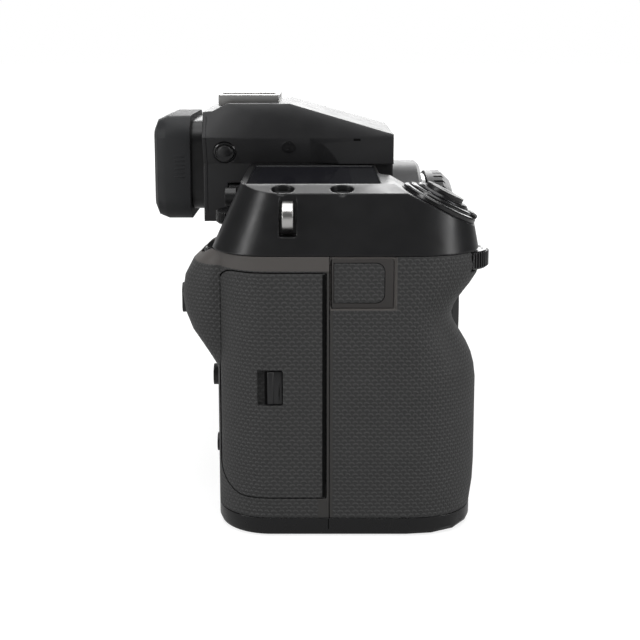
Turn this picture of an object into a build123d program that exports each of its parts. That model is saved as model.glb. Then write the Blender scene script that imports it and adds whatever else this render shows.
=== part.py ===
from build123d import *
import math
import os

# The camera stands on Z = 0, its lens looks towards -Y and its hand grip is on the -X side.
# All lengths are in millimetres.

# Gaps and cuts
running_gap = 0.05
seat_gap = 0.3
seam_gap = 0.2
overrun = 3.0

# Casing
near_side_x = -86.0
far_side_x = 66.4
base_height = 5.2
cover_seam_z = 77.6
rear_face_y = 30.8
front_face_y = -14.7
wall = 3.0
near_rear_radius = 15.0
far_rear_radius = 10.0
far_front_radius = 9.0
base_rim = 1.75
base_floor = 2.6
rim_steps = 2

# Hand grip
grip_reach = 26.9
grip_tip_x = -69.0
grip_side_length = 21.0
grip_profile_shares = (0.933, 0.963, 0.972, 0.974, 0.974, 0.974, 0.970, 0.928, 0.812, 0.710, 0.818, 0.975,
                       0.978)
grip_band_shares = (0, 0.08, 0.16, 0.47, 0.52, 0.56, 0.6, 0.64, 0.68, 0.71, 0.74, 0.77, 0.8, 0.83, 0.87,
                    0.91, 0.95, 1)
hollow_band_shares = (0, 0.5, 0.6, 0.7, 0.74, 0.8, 0.9, 1)
thumb_band_shares = (0, 0.12, 0.25, 0.38, 0.5, 0.62, 0.74, 0.86, 1)
hollow_edge_shares = (0, 0.25, 0.5, 0.75)
side_pull_share = 0.62
nose_pull_share = 0.62
flank_pull_share = 0.64
channel_pull_share = 0.42

# Thumb rest
thumb_low_z = 40.0
thumb_swell = 10.2
thumb_outer_x = -77.5
thumb_crest_x = -64.0
thumb_inner_x = -46.0
thumb_root_depth = 6.0
thumb_profile_shares = (-0.06, 0.18, 0.66, 0.93, 1.0, 0.82, 0.26)

# Top cover
shoulder_height = 17.4
deck_z = cover_seam_z + shoulder_height
deck_near_x = -79.5
deck_rear_y = 24.2
deck_front_y = -37.7
deck_rear_radius = 12.0
skirt_rear_y = 32.0
skirt_rear_radius = 16.0
bed_half_width = 22.3
bed_sink = 6.5
bed_z = deck_z - bed_sink
bed_rear_y = 30.8
left_deck_drop = 7.0
left_deck_z = deck_z - left_deck_drop
left_deck_lean = 3.0
slope_top_y = -18.6
slope_top_drop = 0.5
slope_top_z = deck_z - slope_top_drop
slope_low_y = -39.8
slope_low_drop = 11.5
slope_low_z = deck_z - slope_low_drop
margin_inner_x = -73.0
margin_drop = 1.5

# Lens mount
lens_axis_z = 51.25
throat_radius = 32.5
throat_wall = 3.3
flange_width = 5.5
flange_radius = throat_radius + flange_width
flange_gap = 0.4
collar_bore_radius = flange_radius + flange_gap
collar_wall = 4.1
collar_radius = collar_bore_radius + collar_wall
collar_front_y = -30.1
collar_edge = 1.2
collar_clearance = 1.0
finger_gap = 4.5
grip_inner_x = -collar_radius - finger_gap
flange_face_y = -32.0
flange_seat_y = -29.5
bayonet_tab_depth = 1.9
bayonet_tab_thickness = 1.4
bayonet_count = 3
bayonet_angle = 48.0
contact_count = 10
contact_half_width = 0.5
contact_pitch_angle = 6.5
contact_inset = 1.9
contact_circle = throat_radius - contact_inset
contact_block_depth = 3.2
contact_reach = 1.2
contact_block_y = (-25.0, -19.0)

# Body cap
cap_overhang = 1.0
cap_radius = flange_radius + cap_overhang
cap_back_y = -32.3
cap_rib_start_y = -34.6
cap_shoulder_y = -37.3
cap_front_y = -40.3
cap_front_taper = 2.8
cap_front_radius = cap_radius - cap_front_taper
cap_wall = 1.6
cap_rib_count = 60
cap_rib_width = 1.3
cap_rib_depth = 0.7
cap_skirt_gap = 2.6
cap_skirt_radius = throat_radius - cap_skirt_gap
cap_skirt_y = -26.4
cap_lug_thickness = 1.3
cap_lug_gap = 1.1
cap_lug_radius = throat_radius - cap_lug_gap
cap_lug_angle = 40.0

# Lens release
release_inset = 2.5
release_x = release_inset - collar_radius
release_z = 24.0
release_radius = 4.6
release_proud = 4.0
release_travel = 2.5
lock_pin_radius = 1.2
lock_pin_inset = 2.8
lock_pin_circle = flange_radius - lock_pin_inset
lock_pin_proud = 1.1
lock_pin_length = 9.0

# Chassis, shutter and sensor
chassis_half_width = 44.0
chassis_thickness = 2.0
gate_half_width = 24.0
gate_half_height = 18.5
shutter_half_width = 37.0
shutter_z = (17.6, 77.0)
shutter_thickness = 2.8
shutter_slot = 1.5
blade_thickness = 0.3
blade_pitch = 0.45
blade_height = 13.2
blade_half_width = 26.5
blade_count = 3
blade_park_z = 18.6
sensor_half_width = 25.5
sensor_half_height = 20.0
stage_travel = 1.5
stage_plate = 1.4
stage_gap = 0.25
stage_half_width = 37.0
stage_half_height = 25.7
stage_rim = 4.5
board_thickness = 1.6
board_y = 7.0
chip_height = 1.5
chip_shares = ((0.3, 0.5, 0.16), (0.55, 0.65, 0.09), (0.55, 0.38, 0.09), (0.78, 0.5, 0.12))
post_shares = (0.04, 0.96)

# Power and cards
battery_x = (-81.6, -60.9)
battery_y = (-21.6, 16.7)
battery_z = (6.2, 58.5)
battery_corner = 3.0
chamber_wall = 1.0
door_floor_inset = 0.8
battery_door_thickness = 2.2
battery_door_lift = 0.3
battery_hinge_z = 0.8
battery_hinge_gap = 0.8
card_unit_x = (-79.0, -45.6)
card_unit_y = (18.4, 24.4)
card_unit_z = (11.5, 69.5)
card_slot_width = 2.5
card_slot_height = 24.6
card_slot_depth = 30.0
card_slot_place_shares = (0.26, 0.74)
latch_groove_shares = (0.3, 0.5, 0.7)

# Side doors
door_thickness = 1.8
door_gap = 0.35
hinge_inset = 0.6
hinge_y = 1.33
hinge_strip_y = 0.7
knuckle_radius = 0.5
knuckle_length = 4.0
pin_radius = 0.35
pin_reach = 1.5
door_front_y = 1.9
card_door_rear_y = 29.6
card_door_z = (11.1, 72.9)
card_door_top_radius = 4.0
card_door_low_radius = 7.5
small_radius = 0.6
latch_recess_y = (12.4, 19.25)
latch_recess_z = (36.9, 46.7)
latch_recess_depth = 1.4
latch_length = 4.55
latch_slack = 0.15
latch_ridge = 1.7
latch_web = 0.45
far_door_rear_y = 19.5
mic_door_z = (45.4, 70.0)
port_door_z = (11.1, 41.4)

# Remote release cover
remote_panel_y = (-17.6, -0.25)
remote_panel_z = (63.3, 77.6)
remote_panel_depth = 0.3
remote_flap_y = (-16.7, -0.6)
remote_flap_z = (63.9, 76.5)
remote_flap_thickness = 1.5
remote_pad_front_y = -14.7
remote_pad_height = 0.2
remote_hinge_inset = 0.5
remote_pin_reach = 0.6
remote_radius = 3.0
jack_radius = 1.9
jack_length = 8.0

# Terminals behind the far doors
terminal_margin = 2.5
terminal_length = 9.0
port_shares = ((0.24, 0.34), (0.55, 0.28), (0.8, 0.2))
mic_shares = (0.3, 0.7)

# Strap lugs
lug_y = 11.0
lug_thickness = 2.85
lug_height = 7.9
lug_eye_radius = 1.5
lug_length = 5.6
lug_tang_length = 10.0
lug_tang_height = 4.0
lug_pocket_width = 4.6
lug_pocket_height = 10.3
near_lug_z = 87.5
far_lug_z = 82.8
lug_boss = 10.0

# Sub-monitor
window_x = (-72.5, -27.0)
window_y = (-14.0, 22.5)
window_depth = 1.1
window_thickness = 0.9
window_radius = 1.2
side_button_x = -77.0
side_button_y = (12.4, -3.4)
side_button_radius = 2.7
side_button_ring = 0.5
side_button_top = 93.2
side_button_height = 1.9
side_button_travel = 0.6
side_button_land = 4.4

# Shutter release and power lever
shutter_x = -68.0
shutter_y = -30.0
lever_radius = 11.2
lever_hub_radius = 7.0
lever_height = 3.4
lever_tab_width = 7.0
lever_tab_reach = 2.2
lever_rib_count = 36
shutter_button_radius = 5.5
shutter_button_proud = 1.2
shutter_button_dish = 0.9
shutter_dish_radius = 2.2
shutter_stem = 4.0

# Command dials
dial_radius = 9.0
dial_gap = 0.6
dial_axle_radius = 1.5
dial_rib_count = 30
dial_rib_depth = 0.6
front_dial_x = -70.0
front_dial_y = -34.9
rear_dial_x = -66.0
rear_dial_y = 25.7
dial_low_z = 72.2
dial_thickness = 5.0
dial_floor = 2.0
focus_dial_x = -36.0
focus_dial_y = 26.4
focus_dial_radius = 7.7
focus_dial_z = (78.7, 82.8)

# Mode dial on the far shoulder
mode_x = 46.0
mode_y = 4.0
mode_radius = 11.0
mode_low_rise = 2.9
mode_height = 7.3
mode_z = (left_deck_z + mode_low_rise, left_deck_z + mode_low_rise + mode_height)
mode_spindle_radius = 4.0
mode_rib_count = 44
mode_lock_radius = 2.6
mode_lock_proud = 0.9

# Finder
finder_half_width = 26.0
finder_top_half_width = 20.5
finder_foot_half_width = 22.0
finder_foot_gap = 0.5
finder_foot_z = bed_z + finder_foot_gap
finder_flank_height = 8.4
finder_waist_z = deck_z + finder_flank_height
finder_front_y = -20.4
finder_trim = 1.3
finder_rear_y = 39.0
finder_roof_height = 10.3
finder_ridge_z = finder_waist_z + finder_roof_height
finder_ridge_front_y = 11.9
finder_ridge_rear_y = 31.5
finder_brow_rise = 1.1
finder_brow_z = finder_waist_z + finder_brow_rise
finder_rear_drop = 2.5
finder_rear_top_z = finder_ridge_z - finder_rear_drop
finder_chin_drop = 11.7
finder_chin_z = bed_z - finder_chin_drop
finder_chin_y = 31.4
finder_wall = 2.5
scoop_x = -36.0
scoop_y = 5.9
scoop_low_radius = 14.0
scoop_high_radius = 10.0
eyepiece_y = (39.0, 43.3)
eyepiece_half_width = 18.5
eyepiece_low_rise = 2.7
eyepiece_top_drop = 3.2
eyepiece_z = (finder_chin_z + eyepiece_low_rise, finder_rear_top_z - eyepiece_top_drop)
eyecup_y = (43.3, 54.9)
eyecup_half_width = 22.0
eyecup_low_rim = 2.6
eyecup_top_rim = 1.8
eyecup_z = (eyepiece_z[0] - eyecup_low_rim, eyepiece_z[1] + eyecup_top_rim)
eyecup_radius = 7.0
eyecup_round = 4.2
window_half_width = 14.5
window_half_height = 10.5
eyecup_flare = 2.6
lens_thickness = 5.0
view_button_y = 32.1
view_button_drop = 4.6
view_button_z = finder_waist_z - view_button_drop
view_button_radius = 2.7
view_ring = 0.8
view_button_proud = 0.6
view_button_travel = 0.6
diopter_y = 34.6
diopter_rise = 3.5
diopter_z = finder_foot_z + diopter_rise
diopter_radius = 3.4
diopter_proud = 2.0
finder_release_y = 27.0
finder_release_rise = 4.0
finder_release_z = finder_foot_z + finder_release_rise
finder_release_width = 6.0
finder_release_height = 3.6
finder_release_proud = 0.8
rail_neck_half_width = 8.0
rail_head_half_width = 10.5
rail_neck_height = 1.4
rail_head_height = 1.5
rail_front_y = -8.0
rail_rear_y = 26.0

# Hot shoe
shoe_half_width = 11.2
shoe_y = (17.0, 35.0)
shoe_floor = 0.7
shoe_slot_half_width = 9.35
shoe_slot_height = 2.0
shoe_lip = 0.8
shoe_lip_half_gap = 6.3
shoe_sink = 1.2
shoe_stop_length = 1.5

# Rear monitor and its three hinges
recess_x = (-42.0, 48.0)
recess_z = (8.0, 69.4)
recess_floor_y = 24.3
recess_radius = 1.2
tray_wall = 2.4
plate_thickness = 1.2
plate_gap = 0.3
ear_thickness = 1.3
monitor_axis_y = 29.3
low_axis_z = 10.6
high_axis_z = 67.4
ear_radius = 1.4
monitor_pin_radius = 0.7
monitor_pin_reach = 1.4
frame_window_margin = 9.0
swing_axis_x = -37.2
swing_axis_y = 29.2
swing_barrel_radius = 1.1
swing_tab_height = 4.0
swing_tab_inset = 5.0
panel_x = (-35.2, 44.6)
panel_z = (10.0, 65.4)
panel_y = (27.6, 33.5)
panel_radius = 3.0
screen_margin_x = 4.0
screen_margin_z = 2.6
screen_thickness = 0.9

# Round push buttons on the back
button_radius = 2.6
button_clearance = 0.25
button_proud = 0.9
button_land = 1.2
button_length = 5.0
menu_x = -56.0
menu_z = 25.0
play_x = -65.5
play_z = 19.8
af_x = -38.0
af_z = 73.4
slope_button_x = -51.0
slope_button_z = 88.6
quick_width = 4.6
quick_height = 8.5
quick_z = 61.8
quick_proud = 0.5
quick_depth = 4.0
stick_x = -56.0
stick_z = 37.0
stick_radius = 3.4
stick_stem_radius = 1.5
stick_length = 6.0
stick_proud = 2.6
stick_collar_depth = 2.0

# Front trim pieces
lamp_inset = 0.5
lamp_x = collar_radius - lamp_inset
lamp_z = 73.4
lamp_radius = 2.6

# Tripod socket
socket_bore_radius = 3.2
socket_radius = 7.5
socket_height = 9.0
socket_bore_depth = 7.5


def middle(span):
    """The middle of a pair of limits."""
    return (span[0] + span[1]) / 2


def length(span):
    """The distance between a pair of limits."""
    return span[1] - span[0]


def around(centre, half):
    """The pair of limits that lie evenly about a centre."""
    return (centre - half, centre + half)


def grown(span, by):
    """A pair of limits moved apart by the same amount at both ends."""
    return (span[0] - by, span[1] + by)


def plane_across(axis, span):
    """The plane square to an axis from which a piece that fills the span is drawn."""
    if axis == "x":
        return Plane.YZ.offset(span[0])
    if axis == "y":
        return Plane.XZ.offset(-span[1])
    return Plane.XY.offset(span[0])


def slab(axis, u_span, v_span, span, corner=0):
    """A flat piece square to an axis, between limits, with rounded corners where asked."""
    width, height = length(u_span), length(v_span)
    outline = RectangleRounded(width, height, corner) if corner else Rectangle(width, height)
    face = plane_across(axis, span) * Pos(middle(u_span), middle(v_span)) * outline
    return extrude(face, amount=length(span))


def block(x_span, y_span, z_span, corner=0):
    """An upright box between limits."""
    return slab("z", x_span, y_span, z_span, corner)


def prism(axis, points, span, radii=None):
    """A closed outline drawn square to an axis and carried through the span."""
    line = FilletPolyline(*points, radius=radii, close=True) if radii else Polyline(*points, close=True)
    return extrude(plane_across(axis, span) * make_face(line), amount=length(span))


def rod(axis, centre, span, radius, bore=0):
    """A round bar along an axis, or a tube where a bore is given."""
    outline = Circle(radius) - Circle(bore) if bore else Circle(radius)
    return extrude(plane_across(axis, span) * Pos(*centre) * outline, amount=length(span))


def knurled_outline(radius, count, depth):
    """A round outline with pointed teeth, cut as deep as asked."""
    points = []
    for step in range(2 * count):
        angle = math.pi * step / count
        reach = radius - depth * (step % 2)
        points.append((reach * math.cos(angle), reach * math.sin(angle)))
    return make_face(Polyline(*points, close=True))


def ribbed_wheel(axis, centre, span, radius, bore, count, depth):
    """A thumb wheel with teeth round its rim."""
    outline = knurled_outline(radius, count, depth) - Circle(bore)
    return extrude(plane_across(axis, span) * Pos(*centre) * outline, amount=length(span))


def turned(axis_name, points, centre_x, centre_z):
    """A profile of (radius, depth) points turned about an axis that lies along Y."""
    line = Polyline(*[(radius, depth) for radius, depth in points], close=True)
    return Pos(centre_x, 0, centre_z) * revolve(make_face(line), axis=Axis.Y)


def sector(radius, y_span, angle, centre_angle):
    """A wedge of a disc about the lens axis, for bayonet tabs."""
    half = math.radians(angle / 2)
    middle_direction = math.radians(centre_angle)
    points = [(0, lens_axis_z)]
    for turn in (-1, 0, 1):
        direction = middle_direction + turn * half
        reach = radius / math.cos(half)
        points.append((reach * math.cos(direction), lens_axis_z + reach * math.sin(direction)))
    return prism("y", points, y_span)


def lens_ring(outer, inner, y_span):
    """A ring about the lens axis."""
    return rod("y", (0, lens_axis_z), y_span, outer, inner)


def along(span, share):
    """The point at a share of the way between two limits."""
    return span[0] + share * length(span)


def coarse_face(edges):
    """The face inside a loop of edges, with every curve drawn as a few straight lines."""
    points = []
    for edge in edges:
        shares = hollow_edge_shares if edge.geom_type != GeomType.LINE else (0,)
        points += [edge @ share for share in shares]
    return make_face(Polyline(*points, close=True))


def nose_edges(near_x, front_y, height, inset):
    """The round nose of the grip and its finger channel, from the side to the front casing."""
    side_end = Vector(near_x, -grip_side_length, height)
    tip = Vector(grip_tip_x, front_y, height)
    channel = Vector(grip_inner_x, front_face_y + inset, height)
    side_pull = Vector(0, side_pull_share * (tip.Y - side_end.Y), 0)
    nose_pull = Vector(nose_pull_share * (tip.X - near_x), 0, 0)
    flank_pull = Vector(flank_pull_share * (channel.X - tip.X) - inset, 0, 0)
    channel_pull = Vector(channel_pull_share * (channel.X - tip.X) + inset, 0, 0)
    return [Bezier(side_end, side_end + side_pull, tip - nose_pull, tip),
            Bezier(tip, tip + flank_pull, channel - channel_pull, channel)]


def grip_section(front_y, height, inset=0, seam_y=-seam_gap / 2):
    """The plan of the grip at a height: straight side, round nose and the finger channel."""
    near_x = near_side_x + inset
    start, seam = Vector(near_x, seam_y, height), Vector(grip_inner_x, seam_y, height)
    nose = nose_edges(near_x, front_y + inset, height, inset)
    edges = [Line(start, nose[0] @ 0), *nose, Line(nose[1] @ 1, seam), Line(seam, start)]
    return coarse_face(edges) if inset > 0 else Face(Wire(edges))


def grip_form(inset, z_low, z_high):
    """The grip lofted in narrow bands through its plans from the base cover to the top cover."""
    last = len(grip_profile_shares) - 1
    profile = Spline(*[(along((z_low, z_high), step / last), front_face_y - reach_share * grip_reach)
                       for step, reach_share in enumerate(grip_profile_shares)])
    sections = []
    for share in hollow_band_shares if inset > 0 else grip_band_shares:
        place = profile @ share
        sections.append(grip_section(place.Y, place.X, inset))
    return loft(sections, ruled=True)


def rear_face(inset, height, seam_y=seam_gap / 2):
    """The plan of the rear half of the casing."""
    near_x, far_x, rear_y = near_side_x + inset, far_side_x - inset, rear_face_y - inset
    corners = [(near_x, seam_y), (far_x, seam_y), (far_x, rear_y), (near_x, rear_y)]
    line = FilletPolyline(*corners, radius=[0, 0, far_rear_radius - inset, near_rear_radius - inset],
                          close=True)
    return Plane.XY.offset(height) * make_face(line)


def rear_form(inset, z_span):
    """The rear half of the casing as a solid, taken in by an inset."""
    return extrude(rear_face(inset, z_span[0]), amount=length(z_span))


def front_face(inset, height, seam_y=-seam_gap / 2):
    """The plan of the front of the casing beside the grip."""
    far_x, front_y = far_side_x - inset, front_face_y + inset
    corners = [(grip_inner_x, seam_y), (grip_inner_x, front_y), (far_x, front_y), (far_x, seam_y)]
    line = FilletPolyline(*corners, radius=[0, 0, far_front_radius - inset, 0], close=True)
    return Plane.XY.offset(height) * make_face(line)


def front_form(inset, z_span):
    """The front of the casing as a solid, taken in by an inset."""
    return extrude(front_face(inset, z_span[0]), amount=length(z_span))


casing_z = (base_height + seam_gap, cover_seam_z - seam_gap)
through_z = grown(casing_z, overrun)


def thumb_section(rear_y, height):
    """The plan of the thumb rest at a height, rooted inside the rear wall."""
    root_y = rear_face_y - thumb_root_depth
    outer_root = Vector(thumb_outer_x, root_y, height)
    outer_foot = Vector(thumb_outer_x, rear_face_y - thumb_root_depth / 2, height)
    crest = Vector(thumb_crest_x, rear_y, height)
    inner_foot = Vector(thumb_inner_x, rear_face_y - seat_gap, height)
    inner_root = Vector(thumb_inner_x, root_y, height)
    rise = Vector(0, side_pull_share * (crest.Y - outer_foot.Y), 0)
    outer_run = Vector(nose_pull_share * (crest.X - outer_foot.X), 0, 0)
    inner_run = Vector(flank_pull_share * (inner_foot.X - crest.X), 0, 0)
    foot_run = Vector(channel_pull_share * (inner_foot.X - crest.X), 0, 0)
    edges = [Line(outer_root, outer_foot), Bezier(outer_foot, outer_foot + rise, crest - outer_run, crest),
             Bezier(crest, crest + inner_run, inner_foot - foot_run, inner_foot),
             Line(inner_foot, inner_root), Line(inner_root, outer_root)]
    return Face(Wire(edges))


def thumb_rest():
    """The swelling that the thumb rests on, at the back behind the grip."""
    last = len(thumb_profile_shares) - 1
    profile = Spline(*[(along((thumb_low_z, casing_z[1]), step / last), rear_face_y + share * thumb_swell)
                       for step, share in enumerate(thumb_profile_shares)])
    sections = [thumb_section((profile @ share).Y, (profile @ share).X) for share in thumb_band_shares]
    return loft(sections, ruled=True)


def thumb_crest_y(height):
    """How far back the crest of the thumb rest reaches at a height."""
    place = (height - thumb_low_z) / (casing_z[1] - thumb_low_z) * (len(thumb_profile_shares) - 1)
    step = int(place)
    swell = along(thumb_profile_shares[step:step + 2], place - step)
    return rear_face_y + swell * thumb_swell


def door_outline(y_span, z_span, grow=0, rear_radii=(0, 0)):
    """The outline of a side door, low front corner first, seen along X."""
    low, high = grown(z_span, grow)
    front = y_span[0] if not grow else hinge_strip_y
    rear = y_span[1] + grow
    points = [(front, low), (rear, low), (rear, high), (front, high)]
    radii = [small_radius, rear_radii[0] + grow, rear_radii[1] + grow, small_radius]
    return points, radii


def door_zone(side, y_span, z_span, grow=0, rear_radii=(0, 0)):
    """The space over one side of the casing that a door or its recess takes up."""
    points, radii = door_outline(y_span, z_span, grow, rear_radii)
    if side < 0:
        span = (near_side_x - overrun, near_side_x + near_rear_radius)
    else:
        span = (far_side_x - far_rear_radius, far_side_x + overrun)
    return prism("x", points, span, radii)


def side_skin(depth):
    """The outer layer of the rear half of the casing."""
    return rear_form(0, casing_z) - rear_form(depth, through_z)


def hinge_x(side):
    """Where the upright hinge line of a side door lies."""
    return near_side_x + hinge_inset if side < 0 else far_side_x - hinge_inset


def side_door(side, y_span, z_span, rear_radii):
    """A door let into the side of the casing, with knuckles and pins on its front edge."""
    door = side_skin(door_thickness) & door_zone(side, y_span, z_span, 0, rear_radii)
    axis = (hinge_x(side), hinge_y)
    web_x = around(axis[0], knuckle_radius)
    for end, inner in ((z_span[0], z_span[0] + knuckle_length), (z_span[1], z_span[1] - knuckle_length)):
        span = (min(end, inner), max(end, inner))
        reach = pin_reach if end > inner else -pin_reach
        door += rod("z", axis, span, knuckle_radius)
        door += block(web_x, (hinge_y, y_span[0] + small_radius), span)
        door += rod("z", axis, (min(inner, end + reach), max(inner, end + reach)), pin_radius)
    return door


def side_door_recess(side, y_span, z_span, rear_radii):
    """The rebate of a side door, with the holes for its pins."""
    recess = side_skin(door_thickness + seat_gap) & door_zone(side, y_span, z_span, door_gap, rear_radii)
    pins = rod("z", (hinge_x(side), hinge_y), grown(z_span, pin_reach + seat_gap), pin_radius + running_gap)
    return recess + pins


card_door_y = (door_front_y, card_door_rear_y)
far_door_y = (door_front_y, far_door_rear_y)
card_door_radii = (card_door_low_radius, card_door_top_radius)
far_door_radii = (small_radius, small_radius)


def card_door():
    """The door over the memory cards, wrapped round the rear corner, with its latch recess."""
    recess_x_span = (near_side_x - overrun, near_side_x + latch_recess_depth)
    door = side_door(-1, card_door_y, card_door_z, card_door_radii)
    return door - slab("x", latch_recess_y, latch_recess_z, recess_x_span, small_radius)


def card_latch():
    """The sliding catch in the card door: a low plate with a ridge along its front edge."""
    low_y = latch_recess_y[0] + latch_slack
    y_span = (low_y, low_y + latch_length)
    z_span = grown(latch_recess_z, -seat_gap)
    floor_x = near_side_x + latch_recess_depth - seat_gap / 2
    plate = slab("x", y_span, z_span, (near_side_x + latch_web, floor_x))
    ridge = slab("x", (low_y, low_y + latch_ridge), z_span, (near_side_x, floor_x))
    return plate + ridge


def mic_cover():
    """The cover over the sound sockets on the far side."""
    return side_door(1, far_door_y, mic_door_z, far_door_radii)


def port_cover():
    """The cover over the data sockets on the far side."""
    return side_door(1, far_door_y, port_door_z, far_door_radii)


def terminal_bay(z_span):
    """The pocket behind a far cover that lets the sockets through."""
    span = (far_side_x - wall - overrun, far_side_x)
    return slab("x", grown(far_door_y, -terminal_margin), grown(z_span, -terminal_margin), span)


def button_pocket(axis, centre, span, radius=None):
    """The round hole that a push button runs in."""
    return rod(axis, centre, span, (radius or button_radius) + button_clearance)


rear_buttons = {
    "menu_button": (menu_x, menu_z),
    "play_button": (play_x, play_z),
    "focus_button": (af_x, af_z),
}


def rear_casing():
    """The rear shell: side walls, back wall, thumb rest and the recesses of all that sits in it."""
    outer = rear_form(0, casing_z) + thumb_rest()
    shell = outer - rear_form(wall, through_z)
    shell += rod("z", (rear_dial_x, rear_dial_y),
                 (dial_low_z - dial_gap / 2 - dial_floor, dial_low_z), dial_radius) & outer
    tray_y = (recess_floor_y - tray_wall, rear_face_y - wall)
    shell += slab("y", grown(recess_x, tray_wall), (casing_z[0], recess_z[1] + tray_wall), tray_y)
    shell -= slab("y", recess_x, recess_z, (recess_floor_y, rear_face_y + overrun), recess_radius)
    shell -= monitor_pin_holes()
    shell -= side_door_recess(-1, card_door_y, card_door_z, card_door_radii)
    shell -= side_door_recess(1, far_door_y, mic_door_z, far_door_radii)
    shell -= side_door_recess(1, far_door_y, port_door_z, far_door_radii)
    for z_span in (mic_door_z, port_door_z):
        shell -= terminal_bay(z_span)
    shell -= slab("x", grown(card_unit_y, seat_gap), grown(card_unit_z, seat_gap),
                  (near_side_x, card_unit_x[0]))
    for x, z in rear_buttons.values():
        shell += rod("y", (x, z), (rear_face_y - button_length - seat_gap, rear_face_y - wall / 2),
                     button_radius + button_land) - card_unit_space()
        shell -= button_pocket("y", (x, z), (rear_face_y - button_length, rear_face_y + overrun))
    shell -= dial_pocket(rear_dial_x, rear_dial_y)
    shell += rod("z", (rear_dial_x, rear_dial_y), (dial_low_z - dial_floor, dial_low_z + dial_thickness),
                 dial_axle_radius)
    shell -= quick_pocket()
    shell -= rod("y", (stick_x, stick_z), (rear_face_y - stick_collar_depth, rear_face_y + overrun),
                 stick_radius + seat_gap)
    shell -= rod("y", (stick_x, stick_z), (rear_face_y - wall - overrun, rear_face_y + overrun),
                 stick_stem_radius + stick_stem_radius)
    return shell


def card_unit_space():
    """The space kept free for the memory card unit."""
    return block(grown(card_unit_x, seat_gap), grown(card_unit_y, seat_gap), grown(card_unit_z, seat_gap))


def dial_pocket(x, y):
    """The round pocket of a command dial under the top cover."""
    return rod("z", (x, y), (dial_low_z - dial_gap / 2, cover_seam_z + overrun), dial_radius + dial_gap)


def command_dial(x, y):
    """A ribbed thumb wheel that turns on an upright axle."""
    span = (dial_low_z, dial_low_z + dial_thickness)
    return ribbed_wheel("z", (x, y), span, dial_radius, dial_axle_radius + running_gap,
                        dial_rib_count, dial_rib_depth)


def rear_dial():
    """The rear command dial, let into the thumb rest."""
    return command_dial(rear_dial_x, rear_dial_y)


def front_dial():
    """The front command dial, let into the top of the grip."""
    return command_dial(front_dial_x, front_dial_y)


def hand_grip():
    """The grip shell with its finger channel, dial pocket and remote socket recess."""
    outer = grip_form(0, *casing_z)
    shell = outer - grip_form(wall, casing_z[0] - seam_gap, casing_z[1] + seam_gap)
    shell -= block((near_side_x + wall, grip_inner_x + overrun), (-wall, overrun), through_z)
    shell += rod("z", (front_dial_x, front_dial_y),
                 (dial_low_z - dial_gap / 2 - dial_floor, dial_low_z), dial_radius) & outer
    shell -= dial_pocket(front_dial_x, front_dial_y)
    shell += rod("z", (front_dial_x, front_dial_y), (dial_low_z - dial_floor, dial_low_z + dial_thickness),
                 dial_axle_radius)
    panel_z = (remote_panel_z[0], remote_panel_z[1] + overrun)
    panel_floor = near_side_x + remote_panel_depth
    shell -= slab("x", remote_panel_y, panel_z, (near_side_x - overrun, panel_floor))
    flap_floor = panel_floor + remote_flap_thickness + seat_gap
    shell -= slab("x", (remote_flap_y[0] - seat_gap, -seam_gap), grown(remote_flap_z, seat_gap),
                  (near_side_x - overrun, flap_floor), small_radius)
    pins = rod("z", remote_hinge(), grown(remote_flap_z, remote_pin_reach + seat_gap),
               pin_radius + running_gap)
    jack = rod("x", (middle(remote_flap_y), middle(remote_flap_z)),
               (near_side_x, near_side_x + wall + overrun),
               jack_radius + jack_radius)
    return shell - pins - jack


def remote_hinge():
    """The upright hinge line of the remote socket's cover."""
    return (near_side_x + remote_panel_depth + remote_hinge_inset, remote_flap_y[1] - remote_hinge_inset)


def remote_cover():
    """The flap over the remote socket: a plate with a raised pad and a finger edge in front."""
    face_x = near_side_x + remote_panel_depth
    flap = slab("x", remote_flap_y, remote_flap_z, (face_x, face_x + remote_flap_thickness))
    pad_y = (remote_pad_front_y, remote_flap_y[1] - small_radius)
    flap += slab("x", pad_y, grown(remote_flap_z, -small_radius), (face_x - remote_pad_height, face_x),
                 remote_radius / 2)
    front_corner = (remote_flap_y[0], middle(remote_flap_z))
    trim = slab("x", remote_flap_y, remote_flap_z, (face_x - overrun, face_x + overrun))
    trim -= slab("x", (remote_flap_y[0], remote_flap_y[1] + remote_radius), remote_flap_z,
                 (face_x - overrun, face_x + overrun), remote_radius)
    flap -= trim & slab("x", (front_corner[0], front_corner[0] + remote_radius), remote_flap_z,
                        (face_x - overrun, face_x + overrun))
    return flap + rod("z", remote_hinge(), grown(remote_flap_z, remote_pin_reach), pin_radius)


def remote_jack():
    """The remote socket behind its cover: a barrel with a bore."""
    centre = (middle(remote_flap_y), middle(remote_flap_z))
    face_x = near_side_x + remote_panel_depth + remote_flap_thickness + seat_gap
    return rod("x", centre, (face_x, face_x + jack_length), jack_radius + jack_radius - running_gap,
               jack_radius)


def front_casing():
    """The front shell beside the grip, with the throat and the holes of what shows in it."""
    shell = front_form(0, casing_z)
    inner = front_form(wall, through_z)
    inner += block((grip_inner_x - overrun, grip_inner_x + wall), (front_face_y + wall, overrun), through_z)
    inner += block((grip_inner_x, far_side_x - wall), (-wall, overrun), through_z)
    shell -= inner
    y_span = (front_face_y - overrun, front_face_y + wall + overrun)
    shell -= rod("y", (0, lens_axis_z), y_span, throat_radius + throat_wall + running_gap)
    shell -= rod("y", (release_x, release_z), y_span, release_radius + button_clearance)
    shell -= rod("y", (lamp_x, lamp_z), y_span, lamp_radius + running_gap)
    return shell


def rim_sections(face_at):
    """The plans that round the bottom edge of the base cover."""
    sections = []
    for step in range(rim_steps + 1):
        angle = math.radians(90 * step / rim_steps)
        sections.append(face_at(base_rim * (1 - math.sin(angle)), base_rim * (1 - math.cos(angle)), 0))
    return sections


def base_grip_face(inset, height, seam_y=0):
    """The plan of the grip at the base cover."""
    return grip_section(front_face_y - grip_profile_shares[0] * grip_reach, height, inset, seam_y)


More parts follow.
